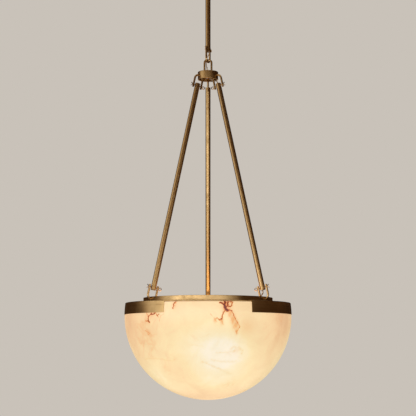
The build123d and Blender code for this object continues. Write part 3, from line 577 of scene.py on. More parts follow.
@dataclass
class Bowl:
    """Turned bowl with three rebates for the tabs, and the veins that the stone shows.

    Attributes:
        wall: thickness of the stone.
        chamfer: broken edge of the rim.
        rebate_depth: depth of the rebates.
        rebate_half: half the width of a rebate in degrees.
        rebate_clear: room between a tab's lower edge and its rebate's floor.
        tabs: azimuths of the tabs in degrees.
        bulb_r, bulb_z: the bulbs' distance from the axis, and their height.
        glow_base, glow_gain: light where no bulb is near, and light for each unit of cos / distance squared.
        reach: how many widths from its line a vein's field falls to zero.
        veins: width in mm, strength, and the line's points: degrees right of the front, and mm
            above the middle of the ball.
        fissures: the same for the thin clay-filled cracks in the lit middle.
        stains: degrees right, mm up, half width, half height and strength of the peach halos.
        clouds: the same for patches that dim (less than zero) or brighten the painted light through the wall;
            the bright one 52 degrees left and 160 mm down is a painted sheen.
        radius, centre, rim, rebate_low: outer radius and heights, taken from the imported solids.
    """

    wall: float = 12 * MM
    chamfer: float = 1 * MM
    rebate_depth: float = 2.6 * MM
    rebate_half: float = 30.05
    rebate_clear: float = 0.2 * MM
    tabs: Point = (210.0, 330.0, 90.0)
    bulb_r: float = 99.85 * MM
    bulb_z: float = -1127.5 * MM
    glow_base: float = 0.354
    glow_gain: float = 0.00352
    reach: float = 1.6
    veins: tuple[Mark, ...] = (
        (3.4, 1.15, ((10.9, 29.5), (11.3, 26.0), (10.6, 21.3), (10.9, 15.4), (11.9, 9.6), (12.6, 5.5))),
        (2.1, 1.00, ((7.6, 26.8), (8.7, 25.7), (9.9, 22.5), (10.9, 17.0))),
        (2.4, 0.95, ((13.0, 29.5), (13.0, 21.4), (12.2, 15.5), (11.4, 7.6))),
        (1.8, 0.72, ((14.1, 29.3), (16.1, 27.0), (15.6, 19.6), (14.8, 16.1), (13.4, 16.5), (13.0, 20.4))),
        (3.4, 0.80, ((10.9, 9.0), (12.4, 8.2), (13.6, 8.0))),
        (2.0, 0.68, ((11.2, 7.0), (10.0, 0.7), (9.5, -4.7), (9.2, -11.0), (8.7, -15.4))),
        (2.6, 0.76, ((8.9, -15.8), (7.6, -17.4))),
        (1.5, 0.50, ((7.6, -17.4), (6.6, -15.4), (5.8, -13.5), (5.2, -15.0))),
        (1.3, 0.36, ((8.7, -15.9), (9.2, -22.7), (10.1, -30.4))),
        (1.2, 0.30, ((1.3, -2.3), (3.0, -9.1), (4.2, -14.0), (4.8, -19.0), (5.6, -23.7))),
        (1.7, 0.62, ((12.6, 7.7), (14.0, 7.7), (15.5, 4.8), (16.6, -3.0), (17.4, -10.8), (18.1, -15.6))),
        (1.6, 0.54, ((18.1, -15.6), (19.3, -23.9), (20.3, -28.7), (21.2, -35.5))),
        (2.0, 0.64, ((19.0, -22.5), (19.6, -25.4))),
        (1.8, 0.53, ((21.0, -34.0), (21.2, -37.0))),
        (1.3, 0.37, ((21.2, -36.5), (20.3, -41.9), (19.4, -47.7), (19.3, -53.6))),
        (1.2, 0.27, ((12.7, 3.7), (13.7, -6.0), (15.5, -16.7), (16.2, -27.4), (17.5, -39.0), (18.9, -48.7))),
        (1.7, 0.78, ((-40.8, 6.3), (-39.9, -0.4), (-41.2, -3.0), (-42.9, -6.8), (-43.4, -14.7),
                     (-42.2, -22.7))),
        (1.7, 0.80, ((-40.8, 5.6), (-38.1, 6.0), (-37.2, -0.7), (-39.0, -1.8), (-40.8, -3.0))),
        (1.6, 0.72, ((-37.2, 4.6), (-36.2, -0.8), (-34.9, -6.8), (-34.1, -2.9))),
        (1.1, 0.34, ((-34.7, -7.5), (-33.3, -14.1), (-33.6, -22.6))),
        (1.1, 0.29, ((-32.7, -11.5), (-32.3, -5.7), (-30.3, -2.5))),
        (1.3, 0.53, ((-44.8, 2.0), (-44.1, -2.7), (-43.1, -8.1))),
        (1.6, 0.64, ((-45.7, -18.4), (-43.8, -19.9), (-42.2, -23.4))),
        (1.2, 0.37, ((-47.8, -44.1), (-45.3, -46.3), (-43.1, -52.3), (-44.8, -54.9), (-45.3, -51.5))),
        (1.7, 0.78, ((-21.4, 31.7), (-22.6, 25.9), (-22.9, 20.6), (-23.4, 11.5))),
        (1.3, 0.44, ((-22.6, 25.9), (-21.5, 24.5), (-21.2, 29.7))),
    )
    fissures: tuple[Mark, ...] = (
        (3.2, 0.35, ((-5.0, -125.5), (-1.6, -127.6), (1.6, -133.2), (5.7, -139.2), (10.0, -143.6))),
        (4.0, 0.23, ((10.0, -143.6), (13.8, -148.8), (20.9, -155.3))),
        (3.8, 0.31, ((3.0, -119.2), (7.7, -123.0), (13.2, -124.3), (18.1, -125.1), (22.1, -123.0))),
        (2.5, 0.29, ((5.8, -102.1), (10.1, -101.3), (14.5, -100.5), (18.2, -97.9), (20.3, -96.1))),
        (4.0, 0.49, ((18.2, -97.6), (19.4, -96.5))),
        (3.8, 0.35, ((16.4, -92.3), (17.7, -87.2), (20.0, -88.5))),
        (3.8, 0.33, ((22.3, -88.5), (24.0, -92.3), (25.9, -97.4))),
        (2.5, 0.43, ((24.7, -103.3), (25.3, -103.8))),
        (2.8, 0.17, ((15.4, -56.8), (17.1, -69.4), (18.0, -84.7))),
        (2.8, 0.28, ((-12.5, -82.2), (-9.0, -81.2), (-6.9, -83.0), (-3.5, -85.6))),
        (2.8, 0.17, ((-5.3, -63.2), (-2.0, -59.4), (1.3, -54.4))),
        (2.2, 0.16, ((-29.0, -82.0), (-25.0, -82.6))),
        (2.5, 0.29, ((-59.2, -117.9), (-50.9, -116.9), (-44.8, -116.1), (-36.9, -118.9), (-32.5, -122.0),
                     (-28.0, -122.5), (-25.9, -117.9))),
        (2.2, 0.23, ((-29.7, -103.7), (-27.6, -108.9), (-26.2, -112.7), (-24.9, -116.6))),
        (2.8, 0.31, ((-45.1, -89.4), (-44.4, -92.8))))
    stains: tuple[Spot, ...] = (
        (12.0, 16.0, 13.0, 15.0, 0.8), (14.6, -1.0, 6.5, 11.0, 1.0), (16.6, -16.0, 7.0, 13.0, 1.0),
        (18.4, -31.0, 8.0, 12.0, 1.0), (19.3, -45.0, 5.0, 9.0, 0.9), (8.9, -21.0, 4.0, 9.0, 0.8),
        (4.6, -19.0, 4.5, 6.0, 0.8),
        (-40.5, -3.0, 15.0, 11.0, 0.5), (-43.5, -20.0, 8.0, 10.0, 0.4), (-44.6, -50.0, 12.0, 9.0, 0.35),
        (-22.4, 22.0, 7.0, 12.0, 0.5), (26.4, -36.0, 22.0, 18.0, 0.3))
    clouds: tuple[Spot, ...] = (
        (11.3, -86.0, 52.0, 30.0, 0.24), (14.5, -116.0, 46.0, 14.0, 0.18),
        (8.0, -136.0, 30.0, 8.0, 0.12), (4.0, -70.0, 110.0, 80.0, 0.10), (-27.0, -150.0, 45.0, 40.0, -0.14),
        (-72.0, -25.0, 70.0, 60.0, -0.31), (62.0, -20.0, 60.0, 55.0, -0.29),
        (0.0, -218.0, 130.0, 24.0, -0.19),
        # the patch 52 degrees left and 160 mm down is a painted sheen
        (80.0, -90.0, 45.0, 60.0, 0.08), (-52.0, -160.0, 50.0, 35.0, 0.15), (15.0, -160.0, 60.0, 40.0, 0.11),
        (-155.0, -35.0, 80.0, 50.0, -0.22), (172.0, -140.0, 50.0, 45.0, -0.12),
        (128.0, -80.0, 60.0, 45.0, 0.12),
        (-116.0, -100.0, 55.0, 45.0, 0.10), (98.0, -25.0, 60.0, 45.0, -0.16))
    radius: float = field(init=False)
    centre: float = field(init=False)
    rim: float = field(init=False)
    rebate_low: float = field(init=False)

    def __post_init__(self) -> None:
        """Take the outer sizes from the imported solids."""
        low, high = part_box("alabaster_bowl")
        self.radius = min((high[0] - low[0]) / 2, high[1], -low[1])
        self.centre = low[2] + self.radius
        self.rim = high[2]
        self.rebate_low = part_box("rim_tab_back")[0][2] - self.rebate_clear

    def columns(self) -> Array:
        """Azimuths round the bowl in radians, closer together where the veins are.

        The spacing is the inverse of a density that is 1 at the back and 4.5 from 50 degrees left to
        27 degrees right of the front; each rebate's two ends get a pair of columns.

        Returns:
            Sorted azimuths from 0 to 2 pi.
        """
        right = np.linspace(-180, 180, 7201)
        dense = 1 + 3.5 / (1 + np.exp(-(right + 52) / 2)) / (1 + np.exp((right - 28) / 2))
        share = np.concatenate([[0], np.cumsum((dense[1:] + dense[:-1]) / 2)])
        spots = np.interp(np.linspace(0, share[-1], 404, endpoint=False), share, right) - 90
        ends = np.array([t + s * self.rebate_half + d
                         for t in self.tabs for s in (-1, 1) for d in (-0.012, 0.012)])
        spots = spots[np.min(np.abs((spots[:, None] - ends + 180) % 360 - 180), axis=1) > 0.1]
        return np.sort(np.radians(np.concatenate([spots, ends]) % 360))

    def rows(self) -> tuple[Array, Array, int]:
        """Outline from the outer pole over the rim to the inner pole.

        The outer wall is r = R sin(t), z = c - R cos(t); the inner one has R less the wall.

        Returns:
            Radius and height of each point, the two poles at radius zero, and the number of rings
            that a rebate may cut.
        """
        def polar(z: float, r: float) -> float:
            """Angle from the pole at which a ball of radius r reaches a height."""
            return math.acos((self.centre - z) / r)

        inner_r, edge = self.radius - self.wall, self.rim - self.chamfer
        top = polar(edge, self.radius)
        # the rings lie closest from 0.79 to 1.31 radians above the pole, where the veins are
        outer = np.concatenate([np.linspace(0, 0.79, 40, endpoint=False),
                                np.linspace(0.79, 1.31, 76, endpoint=False), np.linspace(1.31, top, 78)])
        ledge = [polar(self.rebate_low + d * MM, self.radius) for d in (-0.03, 0.03)]
        outer = np.sort(np.concatenate([outer[np.abs(outer - ledge[0]) > 0.0012], ledge]))
        inner = np.linspace(polar(edge, inner_r), 0, 30)
        r_out, r_in = self.radius * np.sin(top), inner_r * np.sin(inner[0])
        rim_r = [r_out - self.chamfer, (r_out + r_in) / 2, r_in + self.chamfer]
        radius = np.concatenate([self.radius * np.sin(outer), rim_r, inner_r * np.sin(inner)])
        height = np.concatenate([self.centre - self.radius * np.cos(outer), [self.rim] * 3,
                                 self.centre - inner_r * np.cos(inner)])
        return radius, height, len(outer) + 1

    def shell(self) -> Shell:
        """Carry the outline round: point = (r cos a, r sin a, z), r held to the rebate's ball in a rebate."""
        radius, height, cuttable = self.rows()
        azimuth = self.columns()
        r = np.repeat(radius[1:-1, None], len(azimuth), axis=1)
        z = height[1:-1, None]
        gap = np.min(np.abs((np.degrees(azimuth)[:, None] - np.array(self.tabs) + 180) % 360 - 180), axis=1)
        deep = np.sqrt(np.maximum((self.radius - self.rebate_depth) ** 2 - (z - self.centre) ** 2, 0))
        cut = (gap < self.rebate_half) & (z > self.rebate_low)
        cut[cuttable:] = False
        r = np.where(cut, np.minimum(r, deep), r)
        rings = np.stack([r * np.cos(azimuth), r * np.sin(azimuth), z + 0 * r], -1)
        return capped(rings, np.array([[0, 0, height[0]], [0, 0, height[-1]]]))

    def glow(self, points: Array) -> Array:
        """Light through the wall: the sum over the bulbs of cos(angle) / distance squared at the inner face.

        Args:
            points: the bowl's vertices.

        Returns:
            A value from 0 to 1 for each vertex.
        """
        ray = points - UP * self.centre
        ray /= np.maximum(np.linalg.norm(ray, axis=1, keepdims=True), 1e-9)
        level = np.full(len(points), self.glow_base)
        for azimuth in np.radians(BULB_SIDES):
            bulb = np.array([self.bulb_r * np.cos(azimuth), self.bulb_r * np.sin(azimuth),
                             self.bulb_z - self.centre])
            way = bulb - ray * (self.radius - self.wall)
            facing = np.maximum(-np.einsum("ij,ij->i", way, ray), 0)
            level += self.glow_gain * facing / np.linalg.norm(way, axis=1) ** 3
        # patches that dim or brighten the painted light, one of them a painted sheen
        for spot in self.clouds:
            level += self.blob(points, spot)
        return np.clip(level, 0.0, 1.0)

    def bearing(self, points: Array, azimuth: float = 0.0) -> Array:
        """Degrees of each vertex to the right of an azimuth, itself right of the front."""
        return (np.degrees(np.arctan2(points[:, 1], points[:, 0])) + 90 - azimuth + 180) % 360 - 180

    def blob(self, points: Array, spot: Spot) -> Array:
        """Soft spot on the surface: strength * exp(-(arc / wide)^2 - (rise / tall)^2), all in mm."""
        azimuth, height, wide, tall, strength = spot
        arc = np.radians(self.bearing(points, azimuth)) * np.hypot(points[:, 0], points[:, 1]) / MM
        rise = (points[:, 2] - self.centre) / MM - height
        return strength * np.exp(-(arc / wide) ** 2 - (rise / tall) ** 2)

    def near(self, points: Array, line: Line) -> Array:
        """Distance in mm along the surface from each vertex to the nearest run of a line."""
        right = self.bearing(points)
        high = (points[:, 2] - self.centre) / MM
        spread = np.radians(1) * np.hypot(points[:, 0], points[:, 1]) / MM
        # natural veins wander: two sine waves shift every line by about a millimetre
        right = right + 0.16 * np.sin(high * 0.62) + 0.10 * np.sin(high * 1.37 + right)
        high = high + 0.5 * np.sin(right * 1.9) + 0.3 * np.sin(right * 4.3 + 0.05 * high)
        best = np.full(len(points), 1e3)
        for (a0, h0), (a1, h1) in zip(line, line[1:]):
            scale = math.radians(1) * math.sqrt((self.radius / MM) ** 2 - ((h0 + h1) / 2) ** 2)
            run = np.array([(a1 - a0) * scale, h1 - h0])
            u, v = (right - a0) * spread, high - h0
            t = np.clip((u * run[0] + v * run[1]) / (run @ run), 0, 1)
            best = np.minimum(best, np.hypot(u - t * run[0], v - t * run[1]))
        return best

    def marks(self, points: Array, lines: Sequence[Mark]) -> Array:
        """Field of several lines: each has its strength on the line and falls to zero beside it."""
        fields = [strength * (1 - self.near(points, line) / (self.reach * width))
                  for width, strength, line in lines]
        return np.clip(np.max(fields, axis=0), 0, 1.2)

    def build(self, material: Material) -> bpy.types.Object:
        """Make the bowl with its values for light, veins, cracks, stains and stone free of marked veins."""
        shell = self.shell()
        points = shell.points
        outer = np.linalg.norm(points - UP * self.centre, axis=1) > self.radius - self.wall / 2
        fields = {"glow": self.glow(points), "vein": self.marks(points, self.veins) * outer,
                  "crack": self.marks(points, self.fissures) * outer,
                  "stain": np.max([self.blob(points, spot) for spot in self.stains], axis=0) * outer,
                  "wild": 1 - 0.92 * np.exp(-((self.bearing(points) / 66) ** 4))}
        bowl = build_object("bowl_of_alabaster", shell, material, 30.0)
        for name, values in fields.items():
            layer = bowl.data.attributes.new(name, "FLOAT", "POINT")
            layer.data.foreach_set("value", values.astype(np.float32))
        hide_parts("alabaster_bowl")
        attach(bowl, "pendant")
        return bowl


# ---------------------------------------------------------------- brass, hung from the hub

@dataclass(frozen=True)
class Rods:
    """Where the three rods hang, in mm.

    Attributes:
        tilt: the rods' lean from upright in degrees.
        hub, collar: radius and height of the bails' holes in the hub and in the collar.
        sides: name and azimuth of each rod.
    """

    tilt: float = 13.303
    hub: tuple[float, float] = (27.1, -395.6)
    collar: tuple[float, float] = (176.0, -1025.23)
    sides: tuple[tuple[str, float], ...] = (("front_left", 210.0), ("front_right", 330.0), ("back", 90.0))

    def axes(self, azimuth: float) -> tuple[Array, Array, Array]:
        """Unit vectors outward, sideways and down a rod."""
        a, t = math.radians(azimuth), math.radians(self.tilt)
        out = np.array([math.cos(a), math.sin(a), 0.0])
        return out, np.cross(UP, out), out * math.sin(t) - UP * math.cos(t)

    def ends(self, azimuth: float, inset: float) -> tuple[Array, Array]:
        """The two points at a distance along the rod's line from the hub's and from the collar's hole."""
        out, _, down = self.axes(azimuth)
        return (out * self.hub[0] + UP * self.hub[1] + down * inset,
                out * self.collar[0] + UP * self.collar[1] - down * inset)


RODS = Rods()


def dress_brass() -> int:
    """Give every brass node a finish worked the way it is made, and return how many there are."""
    # lines round the axis and a highlight that is thrown up and down, as on a lathe-turned cup
    cup = brass("antique brass, turned and hand rubbed", Marks.TURNED)
    # the same, with wider patches and a little more sheen
    rim = brass("antique brass, rolled ring, turned", Marks.TURNED, line=0.7 * MM, patch=45 * MM, rough=0.27)
    # fine lines along the wire and small patches of tarnish
    wire = brass("antique brass wire, drawn and bent", Marks.DRAWN, line=0.4 * MM, patch=9 * MM, rough=0.24)
    tube = {"line": 0.5 * MM, "patch": 30 * MM, "rough": 0.27}
    done = {"hub_cup": cup, "canopy_cup": cup, "canopy_collar": cup, "collar_ring": rim, "rim_plate": rim,
            "hub_bail": wire, "link_bail": wire,
            "stem_tube": brass("antique brass tube, drawn", Marks.DRAWN, **tube),
            "spider_bracket": brass("antique brass strip, rolled and bent", Marks.ROLLED, rough=0.34)}
    for side, azimuth in RODS.sides:
        name = f"antique brass tube, drawn, {side.replace('_', ' ')} rod"
        done |= {f"rod_{side}": brass(name, Marks.DRAWN, tuple(RODS.axes(azimuth)[2]), **tube),
                 f"upper_bail_{side}": wire, f"lower_bail_{side}": wire, f"rim_tab_{side}": rim}
    dress(done)
    return len(done)


@dataclass
class SplitPins:
    """Split pins of half-round wire: one strand runs up one leg, round the eye and down the other.

    Attributes:
        shank: radius of the closed shank.
        grip: half the length between the eye and the bend of the legs.
        neck: length between the shank and the eye's near side.
        eye: radius of the eye's middle line.
        gap: half the distance between the two strands' lines in the shank.
        mouth: half the distance between them where the eye starts.
        spread: angle of the bent legs in degrees.
        leg: length of the bent legs.
        bend: radius of the legs' bend.
        pin_to_hole: distance in mm along a rod from the bail's hole to the pin.
        stem_z: height of the stem's pin.
        stem_turn: azimuth in degrees that the stem's pin points to.
    """

    shank: float = 1.6 * MM
    grip: float = 15.65 * MM
    neck: float = 1.3 * MM
    eye: float = 3.0 * MM
    gap: float = 0.06 * MM
    mouth: float = 0.9 * MM
    spread: float = 42.0
    leg: float = 6.2 * MM
    bend: float = 3 * MM
    pin_to_hole: float = 32.0
    stem_z: float = -318.2 * MM
    stem_turn: float = 247.0

    def strand(self) -> tuple[Array, Array]:
        """Middle line of the strand in the pin's plane, and its inward normals.

        From the tip of one leg the line runs along the shank at a small offset, opens into the eye
        as a circle, and comes back mirrored.

        Returns:
            n x 2 points and n x 2 unit normals that point to the pin's middle.
        """
        slant = math.radians(self.spread)
        tip = [self.grip + self.leg * math.cos(slant), self.gap + self.leg * math.sin(slant)]
        leg = rounded_line(np.array([tip, [self.grip, self.gap], [-self.grip, self.gap]]), self.bend, 9)
        start = math.asin(self.mouth / self.eye)
        angle = np.linspace(start, FULL - start, 37)[:19]
        loop = self.eye * np.stack([np.cos(angle) - 1, np.sin(angle)], -1) - [self.grip + self.neck, 0]
        upper = np.concatenate([leg, loop])
        line = np.concatenate([upper, (upper * [1, -1])[::-1][1:]])
        step = np.gradient(line, axis=0)
        step /= np.linalg.norm(step, axis=1, keepdims=True)
        return line, np.stack([-step[:, 1], step[:, 0]], -1)

    def section(self) -> Array:
        """Half-round wire: the arc u = -r sin(s), v = r cos(s), its corners broken, closed by its flat."""
        s = np.linspace(0, math.pi, 11)
        arc = np.stack([-self.shank * np.sin(s), self.shank * np.cos(s)], -1)
        arc[0], arc[-1] = [-0.12 * MM, 0.96 * self.shank], [-0.12 * MM, -0.96 * self.shank]
        return arc

    def one(self, place: Array, along: Array, normal: Array) -> Shell:
        """One pin: its plane is spanned by the pin's axis and the direction in which the legs spread.

        Args:
            place: middle of the shank.
            along: unit vector from the eye to the tips.
            normal: unit vector along which the legs part.

        Returns:
            The pin's shell.
        """
        line, inward = self.strand()
        path, side = [v[:, :1] * along + v[:, 1:] * normal for v in (line, inward)]
        lift = np.broadcast_to(np.cross(along, normal), path.shape)
        return carried(place + path, side, lift, self.section())

    def build(self) -> int:
        """Make one pin for each packed pin and return how many there are."""
        # brighter than the bails, with fine lines along the wire
        wire = Metal("brass split pin, half-round wire", "#CDAA78", "#B39060", "#705030", Marks.DRAWN,
                     line=0.4 * MM, patch=6 * MM, rough=0.26).build()
        pins: dict[str, tuple[Array, Array, Array, str]] = {}
        for side, azimuth in RODS.sides:
            _, aside, down = RODS.axes(azimuth)
            upper, lower = RODS.ends(azimuth, self.pin_to_hole)
            square = np.cross(down, aside)
            pins[f"upper_pin_{side}"] = (upper * MM, square, -down, "pendant")
            pins[f"lower_pin_{side}"] = (lower * MM, square, down, "pendant")
        turn = math.radians(self.stem_turn)
        tips = np.array([math.cos(turn), math.sin(turn), 0.0])
        pins["stem_pin"] = (UP * self.stem_z, tips, UP, "ceiling_mount")
        for node, (place, along, normal, body) in pins.items():
            piece = build_object(f"split_{node}", self.one(place, along, normal), wire, 40.0)
            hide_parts(node)
            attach(piece, body)
        return len(pins)


# ---------------------------------------------------------------- flex

@dataclass
class Flex:
    """Clear twin flex from the canopy to the lamps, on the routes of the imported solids.

    Attributes:
        width: across both cores.
        core: radius of each core's lobe.
        twist: length of one turn of the twin flex.
        lead: diameter of a lamp lead.
        spacing: distance between the points that are read from a route.
        beside_rod: distance in mm from the rod's middle to the flex.
        rod_ends: distance in mm along the rod's line between the holes and the flex's bends.
        lamp_lean: the lampholders' lean from upright in degrees.
    """

    width: float = 3.9 * MM
    core: float = 1.18 * MM
    twist: float = 60 * MM
    lead: float = 2.9 * MM
    spacing: float = 1.6 * MM
    beside_rod: float = 3.8
    rod_ends: float = 25.5
    lamp_lean: float = 35.0

    def smooth(self, points: Sequence[Sequence[float]]) -> Array:
        """Read evenly spaced points from the route's NURBS spline.

        Args:
            points: the route's points in mm.

        Returns:
            Points in metres along the spline.
        """
        curve = bpy.data.curves.new("route", "CURVE")
        curve.dimensions = "3D"
        curve.resolution_u = 24
        spline = curve.splines.new("NURBS")
        spline.points.add(len(points) - 1)
        for spot, at in zip(spline.points, points):
            spot.co = (at[0] * MM, at[1] * MM, at[2] * MM, 1.0)
        spline.order_u = 3
        spline.use_endpoint_u = True
        holder = bpy.data.objects.new("route", curve)
        bpy.context.scene.collection.objects.link(holder)
        mesh = bpy.data.meshes.new_from_object(holder)
        line = np.empty(len(mesh.vertices) * 3)
        mesh.vertices.foreach_get("co", line)
        bpy.data.objects.remove(holder)
        bpy.data.meshes.remove(mesh)
        line = line.reshape(-1, 3)
        run = np.concatenate([[0], np.cumsum(np.linalg.norm(np.diff(line, axis=0), axis=1))])
        even = np.linspace(0, run[-1], max(int(run[-1] / self.spacing), 12))
        return np.stack([np.interp(even, run, line[:, k]) for k in range(3)], -1)

    def section(self, flat: bool) -> Array:
        """Section of the flex, round or of two lobes.

        The lobes are u = (W/2 - c) sign(cos s) |cos s|^0.35 + c cos s and v = c sin s, which is
        lower at the waist.

        Args:
            flat: twin flex of two lobes if true, else a round lead.

        Returns:
            24 x 2 points.
        """
        s = np.linspace(0, FULL, 24, endpoint=False)
        u, v = np.cos(s), np.sin(s)
        if not flat:
            return np.stack([u, v], -1) * self.lead / 2
        half = self.width / 2 - self.core
        u = half * np.sign(u) * np.abs(u) ** 0.35 + self.core * u
        return np.stack([u, self.core * v * (0.62 + 0.38 * np.minimum(np.abs(u) / half, 1))], -1)

    def carry(self, line: Array, flat: bool) -> Shell:
        """Carry the section along a line, turned once per twist.

        The frame at each point is the line's direction crossed with one fixed vector that no
        route runs along.

        Args:
            line: the flex's middle line.
            flat: twin flex if true, else a round lead.

        Returns:
            The flex's shell.
        """
        step = np.gradient(line, axis=0)
        step /= np.linalg.norm(step, axis=1, keepdims=True)
        base = np.cross(step, np.array([0.31, 0.87, 0.11]))
        base /= np.linalg.norm(base, axis=1, keepdims=True)
        run = np.concatenate([[0], np.cumsum(np.linalg.norm(np.diff(line, axis=0), axis=1))])
        turn = FULL * run[:, None] / self.twist
        side = base * np.cos(turn) + np.cross(step, base) * np.sin(turn)
        return carried(line, side, np.cross(step, side), self.section(flat))

    def routes(self) -> dict[str, tuple[Point, list[Sequence[float]]]]:
        """Each node's body, or the two bodies that it hangs between, and its route's points in mm."""
        x, y = 3.497919, -1.4847778
        stem_out, crossing, hub_entry = (x, y, -327.0), (-5.2, 5.8, -349.7), (-2.0, 8.0, -381.6)
        return {
            "cord_in_stem": (("ceiling_mount",), [
                (0, 37, -19), (0, 29, -19), (0, 15, -7), (0, 8, -4), (0, 0, -5), (0, 0, -45),
                (x, y, -173.5), stem_out]),
            "cord_by_link": (("ceiling_mount", "link"), [
                stem_out, (x, y, -333.0), (-4.6, 4.2, -342.7), crossing]),
            "cord_above_hub": (("link", "pendant"), [
                crossing, (-5.8, 7.4, -356.7), (-2.0, 8.0, -372.6), hub_entry]),
            "cord_to_lamps": (("pendant",), self.rod_route(hub_entry))}

    def rod_route(self, entry: Point) -> list[Array]:
        """Points from the hub down the front right rod to the junction block, in mm."""
        out, side, down = RODS.axes(330.0)
        top, foot = [end + side * self.beside_rod for end in RODS.ends(330.0, self.rod_ends)]

        def spots(*places: tuple[float, float, float]) -> list[Array]:
            """Points at a distance outward, an offset across and a height."""
            return [out * r + side * aside + UP * z for r, aside, z in places]

        return [np.array(entry), np.array(entry) - UP * 12.5, *spots((6, 6.3, -404.8), (22, 6, -411.0)),
                top - down * 5, foot + down * 4.5,
                *spots((163, 6.6, -1013.83), (151, 7.0, -1027.33), (136, 5.5, -1048.33), (118, 3, -1061.23),
                       (64, -2, -1061.23), (24, 0, -1059.73), (11, 0, -1059.73))]

    def lead_routes(self) -> list[list[Array]]:
        """Points of the three leads from the junction block to the lampholders' necks, in mm."""
        routes = []
        lean = math.radians(self.lamp_lean)
        for azimuth in np.radians(BULB_SIDES):
            out = np.array([np.cos(azimuth), np.sin(azimuth), 0.0])
            axis = out * math.sin(lean) - UP * math.cos(lean)
            neck = out * 48.745 - UP * 1054.505 - axis * 7.5
            start = out * 11 - UP * 1058.83
            routes.append([start, start + out * 6, neck - axis * 7, neck + axis * 2])
        return routes

    def build(self) -> int:
        """Make the flex's pieces; the two by the link are left in place, in no body.

        Returns:
            How many pieces were made.
        """
        clear = ClearFlex().build()
        routes = self.routes()
        for node, (bodies, points) in routes.items():
            piece = build_object(f"flex_{node}", self.carry(self.smooth(points), True), clear, 60.0)
            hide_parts(node)
            if len(bodies) == 2:
                tuple(c * MM for c in points[0])
                tuple(c * MM for c in points[-1])
                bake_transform(piece)
            else:
                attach(piece, bodies[0])
        leads = joined([self.carry(self.smooth(points), False) for points in self.lead_routes()])
        piece = build_object("flex_lamp_leads", leads, clear, 60.0)
        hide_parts("lamp_leads")
        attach(piece, "pendant")
        return len(routes) + 1


# ---------------------------------------------------------------- lamps

def dress_lamps() -> int:
    """Give holders, globes and bulb bodies their finishes, and return how many there are."""
    porcelain = Plain("porcelain, pressed and glazed", "#F1EEE6", "#E6E2D8", grain=2 * MM, rough=0.22,
                      coat=0.6, relief=0.05 * MM).build()
    frosted = Plain("bulb glass, blown and frosted inside", "#FFF4E2", "#FFEFD6", grain=6 * MM, rough=0.3,
                    coat=0.5, relief=0.02 * MM, glow=0.92).build()
    body = Plain("bulb body, moulded polycarbonate", "#EFEBE2", "#E2DDD2", grain=1.2 * MM, rough=0.42).build()
    parts = {"lampholder": porcelain, "bulb_globe": frosted, "bulb_base": body}
    done = {f"{part}_{side}": finish for part, finish in parts.items() for side in ("front", "right", "left")}
    dress(done)
    return len(done)


# ---------------------------------------------------------------- ceiling gear and fasteners

